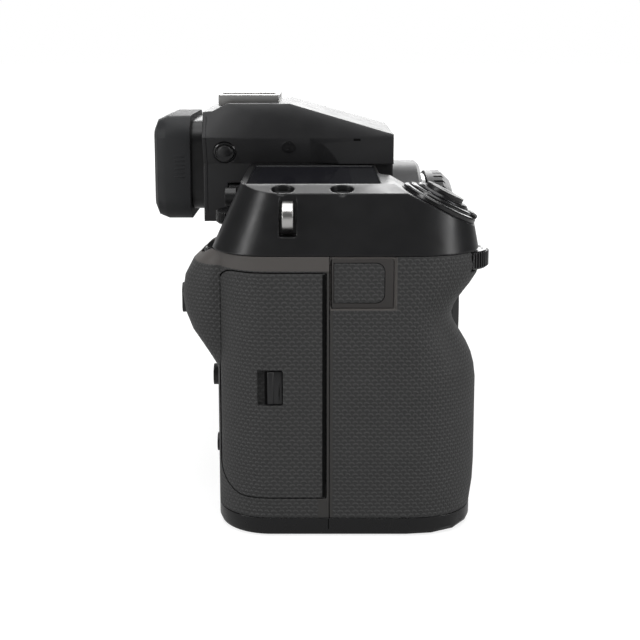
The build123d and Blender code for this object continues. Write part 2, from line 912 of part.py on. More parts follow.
def base_form():
    """The base cover's outer form, rounded along its bottom edge."""
    pieces = []
    for face_at in (base_grip_face, rear_face, front_face):
        pieces.append(loft(rim_sections(face_at), ruled=True))
        pieces.append(extrude(face_at(0, base_rim, 0), amount=base_height - base_rim))
    return Part() + pieces


def base_cover():
    """The base cover: a shallow tray with the battery opening and the tripod socket's seat."""
    outer = base_form()
    tray_z = (base_floor, base_height + overrun)
    cover = outer - grip_tray(tray_z)
    cover -= block((near_side_x + near_rear_radius, far_side_x - far_rear_radius / 2),
                   (0, rear_face_y - wall), tray_z)
    cover -= block((grip_inner_x, far_side_x - wall), (front_face_y + wall, overrun), tray_z)
    cover += block(battery_hinge_block_x(), battery_door_y(overrun), (0, base_height)) & outer
    cover -= block(battery_opening_x(), battery_door_y(door_gap), (-overrun, base_height + overrun))
    pins = rod("y", (battery_hinge_x(), battery_hinge_z), battery_door_y(pin_reach + seat_gap),
               pin_radius + running_gap)
    cover -= pins
    cover += rod("z", (0, 0), (0, base_height), socket_radius + wall)
    cover -= rod("z", (0, 0), (-overrun, base_height + overrun), socket_radius + running_gap)
    return cover


def grip_tray(z_span):
    """The hollow of the base cover under the grip."""
    section = base_grip_face(wall, z_span[0])
    return extrude(section, amount=length(z_span))


def battery_hinge_x():
    """The hinge line of the battery door, along its inner edge."""
    return battery_x[1] + chamber_wall + battery_hinge_gap + knuckle_radius


def battery_opening_x():
    """The opening in the base cover that the battery door fills."""
    return (battery_x[0] - door_floor_inset - door_gap,
            battery_hinge_x() + knuckle_radius + battery_hinge_gap)


def battery_hinge_block_x():
    """The thick land of the base cover beside the battery opening."""
    return (battery_opening_x()[1] - overrun, battery_opening_x()[1] + wall)


def battery_door_y(grow=0):
    """The length of the battery door, with room added at both ends."""
    return grown(battery_y, door_floor_inset + grow)


def battery_door():
    """The door under the battery, hinged along its inner edge, with a stiffening rib frame."""
    x_span = (battery_x[0] - door_floor_inset, battery_x[1] + chamber_wall)
    z_span = (battery_door_lift, battery_door_lift + battery_door_thickness)
    y_span = battery_door_y()
    door = block(x_span, y_span, z_span, small_radius)
    door -= block(latch_slot_x(), latch_slot_y(), (-overrun, battery_door_lift + battery_door_thickness / 2))
    axis = (battery_hinge_x(), battery_hinge_z)
    for end, inner in ((y_span[0], y_span[0] + knuckle_length), (y_span[1], y_span[1] - knuckle_length)):
        span = (min(end, inner), max(end, inner))
        reach = pin_reach if end > inner else -pin_reach
        door += rod("y", axis, span, knuckle_radius)
        door += block((x_span[1] - small_radius, axis[0]), span, around(battery_hinge_z, knuckle_radius))
        door += rod("y", axis, (min(inner, end + reach), max(inner, end + reach)), pin_radius)
    return door


def latch_slot_x():
    """The slot in the battery door that its catch slides in, across."""
    low = battery_x[0] + door_floor_inset
    return (low, low + 2 * latch_length)


def latch_slot_y():
    """The slot in the battery door that its catch slides in, lengthwise."""
    return around(middle(battery_y), latch_length)


def battery_latch():
    """The catch of the battery door, a ribbed slider in its slot."""
    x_low = latch_slot_x()[0] + latch_slack
    x_span = (x_low, x_low + latch_length + latch_length / 2)
    z_high = battery_door_lift + battery_door_thickness / 2 - seat_gap / 2
    slider = block(x_span, grown(latch_slot_y(), -seat_gap / 2), (battery_door_lift, z_high))
    groove_z = (-overrun, battery_door_lift + seat_gap)
    for share in latch_groove_shares:
        centre = along(x_span, share)
        slider -= block(around(centre, seat_gap), grown(latch_slot_y(), overrun), groove_z)
    return slider


def battery():
    """The battery pack in the grip."""
    return block(battery_x, battery_y, battery_z, battery_corner)


def battery_chamber():
    """The thin chamber that guides the battery, closed at the top."""
    z_span = (base_height, battery_z[1] + chamber_wall + seat_gap)
    outer = block(grown(battery_x, chamber_wall + seat_gap), grown(battery_y, chamber_wall + seat_gap),
                  z_span,
                  battery_corner + chamber_wall)
    inner_z = (z_span[0] - overrun, battery_z[1] + seat_gap)
    return outer - block(grown(battery_x, seat_gap), grown(battery_y, seat_gap), inner_z, battery_corner)


def tripod_socket():
    """The tripod socket: a flanged metal bush with a blind hole."""
    bush = rod("z", (0, 0), (0, socket_height), socket_radius)
    return bush - rod("z", (0, 0), (-overrun, socket_bore_depth), socket_bore_radius)


def shoulder_section(inset, height, share):
    """The plan of the grip side's shoulder, between its seam (share 0) and the deck (share 1)."""
    near_x = along((near_side_x, deck_near_x), share) + inset
    rear_y = along((skirt_rear_y, deck_rear_y), share) - inset
    front_y = along((front_face_y - grip_profile_shares[-1] * grip_reach, deck_front_y), share) + inset
    radius = along((skirt_rear_radius, deck_rear_radius), share) - inset
    inner_x = -bed_half_width - inset
    start = Vector(inner_x, rear_y, height)
    arc_start = Vector(near_x + radius, rear_y, height)
    arc_end = Vector(near_x, rear_y - radius, height)
    nose = nose_edges(near_x, front_y, height, inset)
    inner = Vector(inner_x, front_face_y + inset, height)
    edges = [Line(start, arc_start), RadiusArc(arc_start, arc_end, -radius), Line(arc_end, nose[0] @ 0),
             *nose, Line(nose[1] @ 1, inner), Line(inner, start)]
    return coarse_face(edges) if inset > 0 else Face(Wire(edges))


slope_angle = math.atan2(slope_top_z - slope_low_z, slope_top_y - slope_low_y)


def slope_wedge(drop=0):
    """The space above the shutter slope, lowered by a drop for the inside of the cover."""
    rate = (slope_top_z - slope_low_z) / (slope_top_y - slope_low_y)
    front_y = slope_low_y - grip_reach
    front_z = slope_low_z - rate * grip_reach
    crest_z = deck_z + overrun
    crest_y = slope_top_y + (crest_z - slope_top_z) / rate
    points = [(front_y, front_z - drop), (crest_y, crest_z - drop), (crest_y, crest_z + grip_reach),
              (front_y, crest_z + grip_reach)]
    return prism("x", points, (near_side_x - overrun, 0))


def margin_wedge():
    """The space above the bevelled margin along the near edge of the deck."""
    rate = margin_drop / (margin_inner_x - deck_near_x)
    reach = margin_inner_x - near_side_x + overrun
    points = [(margin_inner_x, deck_z), (margin_inner_x - reach, deck_z - rate * reach),
              (margin_inner_x - reach, deck_z + reach), (margin_inner_x, deck_z + reach)]
    return prism("y", points, (deck_front_y - grip_reach, skirt_rear_y + overrun))


def near_shoulder(inset, low_z):
    """The shoulder over the grip: skirt, deck, shutter slope and bevelled margin."""
    high_z = deck_z - inset
    form = loft([shoulder_section(inset, low_z, 0), shoulder_section(inset, high_z, 1)], ruled=True)
    form -= slope_wedge(inset / math.cos(slope_angle))
    return form - Pos(0, 0, -inset) * margin_wedge()


def far_shoulder_face(inset, height, lean):
    """The plan of the far shoulder, taken in by its lean."""
    x_low, far_x = bed_half_width + inset, far_side_x - inset - lean
    front_y, rear_y = front_face_y + inset + lean / 2, skirt_rear_y - inset - lean
    corners = [(x_low, front_y), (far_x, front_y), (far_x, rear_y), (x_low, rear_y)]
    line = FilletPolyline(*corners, radius=[0, far_front_radius - inset, far_rear_radius - inset, 0],
                          close=True)
    return Plane.XY.offset(height) * make_face(line)


def far_shoulder(inset, low_z):
    """The low shoulder on the far side."""
    faces = [far_shoulder_face(inset, low_z, 0),
             far_shoulder_face(inset, left_deck_z - inset, left_deck_lean)]
    return loft(faces, ruled=True)


def lug_pocket(side, z):
    """The pocket round a strap lug."""
    edge_x = near_side_x if side < 0 else far_side_x
    floor_x = edge_x - side * lug_length
    span = (min(floor_x, edge_x + side * overrun), max(floor_x, edge_x + side * overrun))
    return slab("x", around(lug_y, lug_pocket_width / 2), around(z, lug_pocket_height / 2), span,
                small_radius)


def lug_boss_block(side, z):
    """The thick land of the top cover that a strap lug is held in."""
    edge_x = near_side_x if side < 0 else far_side_x
    floor_x = edge_x - side * (lug_tang_length + wall)
    z_span = (cover_seam_z + seam_gap, z + lug_pocket_height / 2)
    return block((min(edge_x, floor_x), max(edge_x, floor_x)), around(lug_y, lug_boss), z_span)


def slope_plane():
    """The plane of the shutter slope, centred under the shutter button."""
    rise, run = slope_top_z - slope_low_z, slope_top_y - slope_low_y
    z = slope_low_z + (shutter_y - slope_low_y) * rise / run
    return Plane(origin=(shutter_x, shutter_y, z), x_dir=(1, 0, 0), z_dir=(0, -rise, run))


def slope_rod(span, radius, bore=0):
    """A round bar or tube square to the shutter slope."""
    outline = Circle(radius) - Circle(bore) if bore else Circle(radius)
    return extrude(slope_plane().offset(span[0]) * outline, amount=length(span))


def top_cover():
    """The top cover: both shoulders, the bed of the finder and every recess in them."""
    low_z = cover_seam_z
    near_outer = near_shoulder(0, low_z)
    far_outer = far_shoulder(0, low_z)
    bed_x = around(0, bed_half_width + overrun)
    bed = block(bed_x, (front_face_y, bed_rear_y), (low_z, bed_z))
    cover = near_outer + far_outer + bed
    cover -= near_shoulder(wall, low_z) + far_shoulder(wall, low_z)
    cover -= block(around(0, bed_half_width - wall), (front_face_y + wall, bed_rear_y - wall),
                   (low_z, bed_z - wall))
    cover -= block(around(0, bed_half_width), (front_face_y - overrun, skirt_rear_y + overrun),
                   (bed_z, deck_z + overrun))
    cover -= rod("y", (0, lens_axis_z), (front_face_y - overrun, shutter_y_span[0] + seat_gap),
                 throat_radius + throat_wall + running_gap)
    cover += lug_boss_block(-1, near_lug_z) & near_outer
    cover += lug_boss_block(1, far_lug_z) & far_outer
    cover -= block(window_x, window_y, (deck_z - window_depth, deck_z + overrun), window_radius)
    cover += (slope_rod((-shutter_stem - wall, 0), lever_hub_radius) & near_outer)
    cover += slope_rod((-wall, lever_height), lever_hub_radius)
    cover -= slope_rod((-shutter_stem, lever_height + overrun), shutter_button_radius + button_clearance)
    for y in side_button_y:
        land_z = (deck_z - side_button_land, deck_z - margin_drop)
        cover += rod("z", (side_button_x, y), land_z, side_button_radius + wall / 2) & near_outer
        pocket_z = (side_button_top - side_button_height - side_button_travel - seat_gap, deck_z + overrun)
        cover -= rod("z", (side_button_x, y), pocket_z, side_button_radius + side_button_ring)
    for side, z in ((-1, near_lug_z), (1, far_lug_z)):
        cover -= lug_pocket(side, z) + lug_tang(side, z, running_gap)
    cover += rod("y", (slope_button_x, slope_button_z), (bed_rear_y - 2 * button_length, bed_rear_y),
                 button_radius + wall / 2) & near_outer
    cover -= button_pocket("y", (slope_button_x, slope_button_z),
                           (slope_button_floor(), skirt_rear_y + overrun))
    cover += focus_dial_land() & near_outer
    cover -= rod("z", (focus_dial_x, focus_dial_y), grown(focus_dial_z, seat_gap),
                 focus_dial_radius + dial_gap)
    cover += rod("z", (focus_dial_x, focus_dial_y), focus_land_z(), dial_axle_radius)
    cover += rod("z", (mode_x, mode_y), (left_deck_z - wall, mode_z[1] - mode_lock_proud),
                 mode_spindle_radius)
    cover -= rod("z", (mode_x, mode_y), (mode_z[0], deck_z + 2 * overrun),
                 mode_lock_radius + button_clearance)
    return cover


def slope_button_floor():
    """The floor of the button hole in the rear skirt of the top cover."""
    return rear_face_y - button_length - seat_gap


def focus_dial_land():
    """The thick land of the rear skirt that the focus dial is let into."""
    return rod("z", (focus_dial_x, focus_dial_y), focus_land_z(), focus_dial_radius + wall / 2)


def focus_land_z():
    """The heights between which the focus dial's land and axle reach."""
    return (cover_seam_z, focus_dial_z[1] + wall / 2)


def focus_dial():
    """The ribbed focus mode dial in the rear skirt of the top cover."""
    return ribbed_wheel("z", (focus_dial_x, focus_dial_y), focus_dial_z, focus_dial_radius,
                        dial_axle_radius + running_gap, dial_rib_count, dial_rib_depth)


def sub_monitor_glass():
    """The window over the display on the deck."""
    z_low = deck_z - window_depth
    return block(grown(window_x, -running_gap), grown(window_y, -running_gap),
                 (z_low, z_low + window_thickness), window_radius)


def side_button(y):
    """A round button in the bevelled margin beside the sub-monitor."""
    span = (side_button_top - side_button_height, side_button_top)
    return rod("z", (side_button_x, y), span, side_button_radius)


def sub_monitor_light_button():
    """The rear one of the two buttons beside the sub-monitor."""
    return side_button(side_button_y[0])


def sub_monitor_mode_button():
    """The front one of the two buttons beside the sub-monitor."""
    return side_button(side_button_y[1])


def lug_tang(side, z, grow):
    """The tang of a strap lug that is held in the top cover."""
    edge_x = near_side_x if side < 0 else far_side_x
    ends = (edge_x - side * (lug_length - running_gap - grow), edge_x - side * (lug_tang_length + grow))
    return slab("y", (min(ends), max(ends)), around(z, lug_tang_height / 2 + grow),
                around(lug_y, lug_thickness / 2 + grow))


def strap_lug(side, z):
    """A strap lug: an upright metal plate, round at its outer end, with an eye along Y."""
    edge_x = near_side_x if side < 0 else far_side_x
    root_x = edge_x - side * (lug_length - running_gap)
    span = around(lug_y, lug_thickness / 2)
    eye_x = edge_x - side * lug_height / 2
    x_span = (min(root_x, eye_x), max(root_x, eye_x))
    plate = slab("y", x_span, around(z, lug_height / 2), span)
    end_x_span = (min(edge_x, root_x), max(edge_x, root_x))
    plate += rod("y", (eye_x, z), span, lug_height / 2) & slab("y", end_x_span, around(z, lug_height / 2),
                                                               span)
    plate += lug_tang(side, z, 0)
    return plate - rod("y", (eye_x, z), grown(span, overrun), lug_eye_radius)


def strap_lugs():
    """Both strap lugs, one on each side of the top cover."""
    return strap_lug(-1, near_lug_z) + strap_lug(1, far_lug_z)


def power_lever():
    """The power lever: a ribbed ring round the shutter button with a thumb tab in front."""
    span = (seat_gap, lever_height - seat_gap)
    outline = knurled_outline(lever_radius, lever_rib_count, seat_gap)
    outline += Pos(0, -lever_radius) * RectangleRounded(
        lever_tab_width, 2 * lever_tab_reach, lever_tab_reach / 2)
    outline -= Circle(lever_hub_radius + running_gap)
    return extrude(slope_plane().offset(span[0]) * outline, amount=length(span))


def shutter_button():
    """The shutter button with its dished top."""
    top = lever_height + shutter_button_proud
    button = slope_rod((-shutter_stem + seat_gap + shutter_button_proud, top), shutter_button_radius)
    dish = Cone(shutter_dish_radius, shutter_button_radius, shutter_button_dish)
    return button - slope_plane().offset(top) * dish


def mode_dial():
    """The mode dial on the far shoulder, knurled round its rim."""
    return ribbed_wheel("z", (mode_x, mode_y), mode_z, mode_radius, mode_spindle_radius + running_gap,
                        mode_rib_count, dial_rib_depth)


def mode_lock_button():
    """The lock button in the middle of the mode dial."""
    span = (mode_z[0] + button_length / 2, mode_z[1] + mode_lock_proud)
    return rod("z", (mode_x, mode_y), span, mode_lock_radius)


def mount_collar():
    """The black collar round the lens mount."""
    profile = [(throat_radius + throat_wall + running_gap, front_face_y), (collar_radius, front_face_y),
               (collar_radius, collar_front_y + collar_edge), (collar_radius - collar_edge, collar_front_y),
               (collar_bore_radius, collar_front_y), (collar_bore_radius, collar_front_y + collar_edge),
               (throat_radius + throat_wall + running_gap, collar_front_y + collar_edge)]
    return turned("y", profile, 0, lens_axis_z) - release_hole()


def release_hole():
    """The hole through collar, flange and chassis that the lens lock pin runs in."""
    return rod("y", lock_pin_centre(), (flange_face_y - overrun, front_face_y + overrun),
               lock_pin_radius + running_gap)


def lock_pin_centre():
    """Where the lens lock pin lies, in line with the release button."""
    reach = math.hypot(release_x, release_z - lens_axis_z)
    share = lock_pin_circle / reach
    return (release_x * share, lens_axis_z + (release_z - lens_axis_z) * share)


def lens_mount():
    """The metal bayonet ring: a flange, three tabs and its screw seats."""
    ring = lens_ring(flange_radius, throat_radius, (flange_face_y, flange_seat_y))
    tab_span = (flange_face_y, flange_face_y + bayonet_tab_thickness)
    tab_ring = lens_ring(throat_radius + running_gap, throat_radius - bayonet_tab_depth, tab_span)
    for turn in range(bayonet_count):
        centre_angle = 90 + 360 * turn / bayonet_count
        ring += tab_ring & sector(flange_radius, tab_span, bayonet_angle, centre_angle)
    return ring - release_hole()


def mount_contacts():
    """The contact block low in the throat, with its row of contacts."""
    block_ring = lens_ring(throat_radius - running_gap, throat_radius - contact_block_depth, contact_block_y)
    contacts = block_ring & sector(flange_radius, contact_block_y,
                                   contact_pitch_angle * (contact_count + 1), 270)
    pin_y = (contact_block_y[0] - contact_reach, contact_block_y[0])
    for step in range(contact_count):
        angle = math.radians(270 + contact_pitch_angle * (step - (contact_count - 1) / 2))
        place = (contact_circle * math.cos(angle), lens_axis_z + contact_circle * math.sin(angle))
        contacts += slab("y", around(place[0], contact_half_width), around(place[1], contact_half_width),
                         pin_y)
    return contacts


chassis_y = (front_face_y + wall, front_face_y + wall + chassis_thickness)
shutter_y_span = (chassis_y[1], chassis_y[1] + shutter_thickness)


def chassis():
    """The front frame: a plate behind the front shell with the throat tube that carries the mount."""
    z_span = (casing_z[0] + seat_gap, casing_z[1] - seat_gap)
    plate = slab("y", around(0, chassis_half_width), z_span, chassis_y)
    plate -= lens_ring(throat_radius, 0, grown(chassis_y, overrun))
    tube = lens_ring(throat_radius + throat_wall, throat_radius, (flange_seat_y, chassis_y[1]))
    pin_channel = rod("y", lock_pin_centre(),
                      (flange_seat_y - overrun, flange_seat_y + lock_pin_length + overrun),
                      lock_pin_radius + running_gap)
    plate += tube
    release = rod("y", (release_x, release_z), grown(chassis_y, overrun), release_radius / 2 + seat_gap)
    return plate - pin_channel - release


def shutter_unit():
    """The shutter frame, with the slot that its blades run in."""
    frame = slab("y", around(0, shutter_half_width), shutter_z, shutter_y_span)
    frame -= slab("y", around(0, gate_half_width), around(lens_axis_z, gate_half_height),
                  grown(shutter_y_span, overrun))
    slot_y = around(middle(shutter_y_span), shutter_slot / 2)
    slot_z = (shutter_z[0] + wall / 2, lens_axis_z + gate_half_height + wall / 2)
    return frame - slab("y", around(0, blade_half_width + seat_gap), slot_z, slot_y)


def shutter_blades():
    """The curtain's blades, stacked in the slot below the gate."""
    low_z = lens_axis_z - blade_park_z - blade_height
    blades = []
    for number in range(blade_count):
        low_y = middle(shutter_y_span) + (number - (blade_count - 1) / 2) * blade_pitch - blade_thickness / 2
        blades += slab("y", around(0, blade_half_width), (low_z, low_z + blade_height),
                       (low_y, low_y + blade_thickness)).solids()
    return Compound(children=blades)


sensor_face_y = shutter_y_span[1] + stage_gap
stage_front_y = shutter_y_span[1] + stage_plate + stage_gap


def stabiliser_base():
    """The fixed plate of the sensor's shake reduction, open round the sensor, with its guide rims."""
    span = (shutter_y_span[1], shutter_y_span[1] + stage_plate)
    half_x, half_z = stage_half_width, stage_half_height
    plate = slab("y", around(0, half_x), around(lens_axis_z, half_z), span)
    window_x = around(0, sensor_half_width + stage_travel + seat_gap)
    plate -= slab("y", window_x, around(lens_axis_z, sensor_half_height + seat_gap), grown(span, overrun))
    rim_y = (span[1], span[1] + stage_plate + stage_gap)
    for side in (-1, 1):
        low = lens_axis_z + side * (half_z - stage_rim + stage_gap)
        high = lens_axis_z + side * half_z
        plate += slab("y", around(0, half_x), (min(low, high), max(low, high)), rim_y)
    return plate


def image_sensor():
    """The sensor on its carrier plate, which shifts sideways between the guide rims."""
    carrier = slab("y", around(0, stage_half_width - stage_rim),
                   around(lens_axis_z, stage_half_height - stage_rim),
                   (stage_front_y, stage_front_y + stage_plate))
    package = slab("y", around(0, sensor_half_width), around(lens_axis_z, sensor_half_height),
                   (sensor_face_y, stage_front_y))
    return carrier + package


def main_board():
    """The main circuit board with its processor and memory chips and its posts."""
    x_span = (card_unit_x[1] + wall, far_side_x - wall - terminal_length - wall)
    z_span = (socket_height + wall / 2, casing_z[1] - wall)
    board = slab("y", x_span, z_span, (board_y, board_y + board_thickness))
    chip_y = (board_y + board_thickness, board_y + board_thickness + chip_height)
    for x_share, z_share, side_share in chip_shares:
        half = side_share * length(x_span) / 2
        board += slab("y", around(along(x_span, x_share), half), around(along(z_span, z_share), half), chip_y)
    for x_share in post_shares:
        for z_share in post_shares:
            place = (along(x_span, x_share), along(z_span, z_share))
            board += rod("y", place, (board_y + board_thickness, recess_floor_y - tray_wall), wall / 2)
    return board


def card_slot_unit():
    """The memory card unit: a thin case with two slots, one above the other, that face the card door."""
    unit = block(card_unit_x, card_unit_y, card_unit_z)
    depth_x = (card_unit_x[0] - overrun, card_unit_x[0] + card_slot_depth)
    slot_y = around(middle(card_unit_y), card_slot_width / 2)
    for place_share in card_slot_place_shares:
        slot_z = around(along(card_unit_z, place_share), card_slot_height / 2)
        unit -= slab("x", slot_y, slot_z, depth_x)
    return unit


def side_terminals():
    """The moulded block of sockets behind the far covers: three data sockets and two round ones."""
    face_x = far_side_x - door_thickness - 2 * seat_gap
    margin = terminal_margin + seat_gap
    body_x = (face_x - terminal_length, face_x)
    unit = block((face_x - terminal_length, far_side_x - wall - seat_gap), grown(far_door_y, -margin),
                 (port_door_z[0] + margin, mic_door_z[1] - margin))
    for z_span in (port_door_z, mic_door_z):
        unit += slab("x", grown(far_door_y, -margin), grown(z_span, -margin), body_x)
    depth_x = (face_x - terminal_length / 2, face_x + overrun)
    centre_y = middle(far_door_y)
    for z_share, half_share in port_shares:
        half = half_share * length(far_door_y) / 2
        unit -= slab("x", around(centre_y, half), around(along(port_door_z, z_share), wall / 2), depth_x)
    for z_share in mic_shares:
        unit -= rod("x", (centre_y, along(mic_door_z, z_share)), depth_x, jack_radius)
    return unit


def lens_release_button():
    """The lens release button beside the collar, with its stem."""
    place = (release_x, release_z)
    button = rod("y", place, (front_face_y - release_proud, front_face_y + wall - release_travel - seat_gap),
                 release_radius)
    return button + rod("y", place, (front_face_y, chassis_y[1]), release_radius / 2)


def lens_lock_pin():
    """The pin that locks a lens or the cap, drawn back by the release button."""
    front_y = flange_face_y - lock_pin_proud
    return rod("y", lock_pin_centre(), (front_y, flange_seat_y + lock_pin_length - release_travel),
               lock_pin_radius)


def body_cap():
    """The body cap: a ribbed disc with three lugs on its skirt that stand in the bayonet's gaps."""
    inner_front_y = cap_front_y + cap_wall
    profile = [(0, cap_front_y), (cap_front_radius, cap_front_y), (cap_radius, cap_shoulder_y),
               (cap_radius, cap_back_y), (cap_skirt_radius, cap_back_y),
               (cap_skirt_radius, cap_skirt_y), (cap_skirt_radius - cap_wall, cap_skirt_y),
               (cap_skirt_radius - cap_wall, inner_front_y), (0, inner_front_y)]
    cap = turned("y", profile, 0, lens_axis_z)
    slot_x, slot_z = (around(place, lock_pin_radius + seat_gap) for place in lock_pin_centre())
    cap -= slab("y", slot_x, slot_z, (cap_back_y - lock_pin_proud - seat_gap, cap_back_y + overrun))
    lug_y = (cap_skirt_y - cap_lug_thickness, cap_skirt_y)
    lug_ring = lens_ring(cap_lug_radius, cap_skirt_radius - running_gap, lug_y)
    for turn in range(bayonet_count):
        cap += lug_ring & sector(flange_radius, lug_y, cap_lug_angle, 30 + 360 * turn / bayonet_count)
    groove = Rectangle(2 * cap_rib_depth, cap_rib_width)
    rib_y = (cap_front_y, cap_rib_start_y)
    plane = Location(plane_across("y", rib_y)) * Pos(0, lens_axis_z)
    grooves = [extrude(plane * place * groove, amount=length(rib_y))
               for place in PolarLocations(cap_radius, cap_rib_count)]
    return cap - grooves


def focus_lamp():
    """The focus assist lamp in the front shell."""
    return rod("y", (lamp_x, lamp_z), (front_face_y - seat_gap, chassis_y[0]), lamp_radius)


def finder_profile():
    """The finder's outline seen from the side."""
    return [(finder_front_y, finder_foot_z), (finder_front_y, finder_brow_z),
            (finder_ridge_front_y, finder_ridge_z), (finder_ridge_rear_y, finder_ridge_z),
            (finder_rear_y - overrun, finder_rear_top_z + seat_gap), (finder_rear_y, finder_rear_top_z),
            (finder_rear_y, finder_chin_z), (finder_chin_y, finder_chin_z), (finder_chin_y, finder_foot_z)]


def finder_section(take_in=0):
    """The finder's outline seen from the front: upright sides that lean in to the roof."""
    half, top = finder_half_width - take_in, finder_top_half_width - take_in
    top_z = finder_ridge_z - take_in
    return [(-half, finder_chin_z), (half, finder_chin_z), (half, finder_waist_z), (top, top_z),
            (-top, top_z), (-half, finder_waist_z)]


def finder_undercut(side):
    """The space beside the finder's foot and under the flank that leans in towards it."""
    foot, outside = side * finder_foot_half_width, side * (finder_half_width + overrun)
    low_z, rear_y = finder_chin_z - overrun, finder_rear_y + overrun
    points = [(side * finder_half_width, finder_waist_z), (foot, deck_z), (foot, low_z), (outside, low_z),
              (outside, finder_waist_z)]
    wedge = prism("y", points, (scoop_y, rear_y))
    reach = finder_waist_z - deck_z
    cone = Pos(side * -scoop_x, scoop_y, deck_z + reach / 2) * Cone(scoop_low_radius, scoop_high_radius,
                                                                    reach)
    shelf = block((min(foot, outside), max(foot, outside)), (finder_front_y - overrun, rear_y),
                  (low_z, deck_z + seat_gap))
    return wedge + cone + shelf


def finder_flank_x(height):
    """How far out the finder's leaning flank lies at a height."""
    share = (height - deck_z) / (finder_waist_z - deck_z)
    return along((finder_foot_half_width, finder_half_width), max(share, 0))


def finder_body():
    """The finder's outer form, cut clear of the collar and of the decks beside it."""
    y_span = (finder_front_y - overrun, finder_rear_y + overrun)
    form = prism("x", finder_profile(), around(0, finder_half_width))
    form &= prism("y", finder_section(), y_span)
    form -= finder_undercut(-1) + finder_undercut(1)
    form -= rod("y", (0, lens_axis_z), (finder_front_y - overrun, front_face_y + seat_gap),
                collar_radius + collar_clearance)
    return form


def rail_cut():
    """The groove in the finder's foot that runs on the rail of the bed."""
    neck_z = (bed_z - overrun, bed_z + rail_neck_height + seat_gap)
    head_z = (bed_z + rail_neck_height - seat_gap, bed_z + rail_neck_height + rail_head_height + seat_gap)
    y_span = (finder_front_y - overrun, finder_chin_y + overrun)
    neck = block(around(0, rail_neck_half_width + seat_gap), y_span, neck_z)
    return neck + block(around(0, rail_head_half_width + seat_gap), y_span, head_z)


def finder_housing():
    """The finder's shell, open at the eyepiece, with the shoe's seat in its roof."""
    form = finder_body()
    form += slab("y", around(0, eyepiece_half_width), eyepiece_z,
                 (eyepiece_y[0] - finder_wall, eyepiece_y[1]),
                 eyecup_radius)
    cavity_z = (finder_foot_z + rail_head_height + rail_neck_height + wall, finder_brow_z - finder_wall)
    cavity_x = around(0, finder_top_half_width - finder_wall)
    form -= block(cavity_x, (finder_front_y + finder_trim + finder_wall, finder_rear_y - finder_wall),
                  cavity_z)
    roof_z = (finder_brow_z - finder_wall, finder_ridge_z - finder_wall - shoe_sink)
    form -= block(grown(cavity_x, -finder_wall), (finder_ridge_front_y, finder_rear_y - finder_wall), roof_z)
    form -= slab("y", around(0, window_half_width), around(middle(eyepiece_z), window_half_height),
                 (finder_ridge_rear_y, eyepiece_y[1] + overrun), small_radius)
    form -= rail_cut()
    form -= slab("z", around(0, shoe_half_width + running_gap),
                 (shoe_y[0] - shoe_stop_length - running_gap, finder_rear_y + overrun),
                 (finder_ridge_z - shoe_sink, finder_ridge_z + overrun))
    view_x = -finder_flank_x(view_button_z)
    form -= rod("x", (view_button_y, view_button_z), (-finder_half_width - overrun, view_x + finder_wall),
                view_button_radius + view_ring)
    seat_x = finder_flank_x(diopter_z) - finder_wall
    form -= rod("x", (diopter_y, diopter_z), (seat_x, finder_half_width + overrun), diopter_radius + seat_gap)
    form += rod("x", (diopter_y, diopter_z), (seat_x - finder_wall, seat_x + finder_wall), dial_axle_radius)
    release_x_span = (finder_foot_half_width - finder_wall, finder_half_width + overrun)
    form -= slab("x", around(finder_release_y, finder_release_width / 2 + seat_gap),
                 around(finder_release_z, finder_release_height / 2 + seat_gap), release_x_span)
    return form


def finder_rail():
    """The T-shaped rail on the bed that the finder slides on."""
    y_span = (rail_front_y, rail_rear_y)
    neck = block(around(0, rail_neck_half_width), y_span, (bed_z, bed_z + rail_neck_height))
    head_z = (bed_z + rail_neck_height, bed_z + rail_neck_height + rail_head_height)
    return neck + block(around(0, rail_head_half_width), y_span, head_z)


def view_button():
    """The view button on the finder's near side."""
    face_x = -finder_flank_x(view_button_z)
    span = (face_x - view_button_proud, face_x + finder_wall - view_button_travel - seat_gap)
    return rod("x", (view_button_y, view_button_z), span, view_button_radius)


def diopter_dial():
    """The sight adjustment dial on the finder's far side."""
    flank_x = finder_flank_x(diopter_z)
    span = (flank_x - finder_wall + seat_gap, flank_x + diopter_proud)
    return ribbed_wheel("x", (diopter_y, diopter_z), span, diopter_radius, dial_axle_radius + running_gap,
                        dial_rib_count, seat_gap)


def finder_release():
    """The button that frees the finder from its rail."""
    span = (finder_foot_half_width - finder_wall + finder_release_proud + seat_gap,
            finder_foot_half_width + finder_release_proud)
    return slab("x", around(finder_release_y, finder_release_width / 2),
                around(finder_release_z, finder_release_height / 2), span, small_radius)


def eyepiece_lens():
    """The rear glass of the finder."""
    y_span = (eyepiece_y[0] - lens_thickness / 2, eyepiece_y[1] - lens_thickness / 4)
    return slab("y", around(0, window_half_width - running_gap),
                around(middle(eyepiece_z), window_half_height - running_gap), y_span, small_radius)


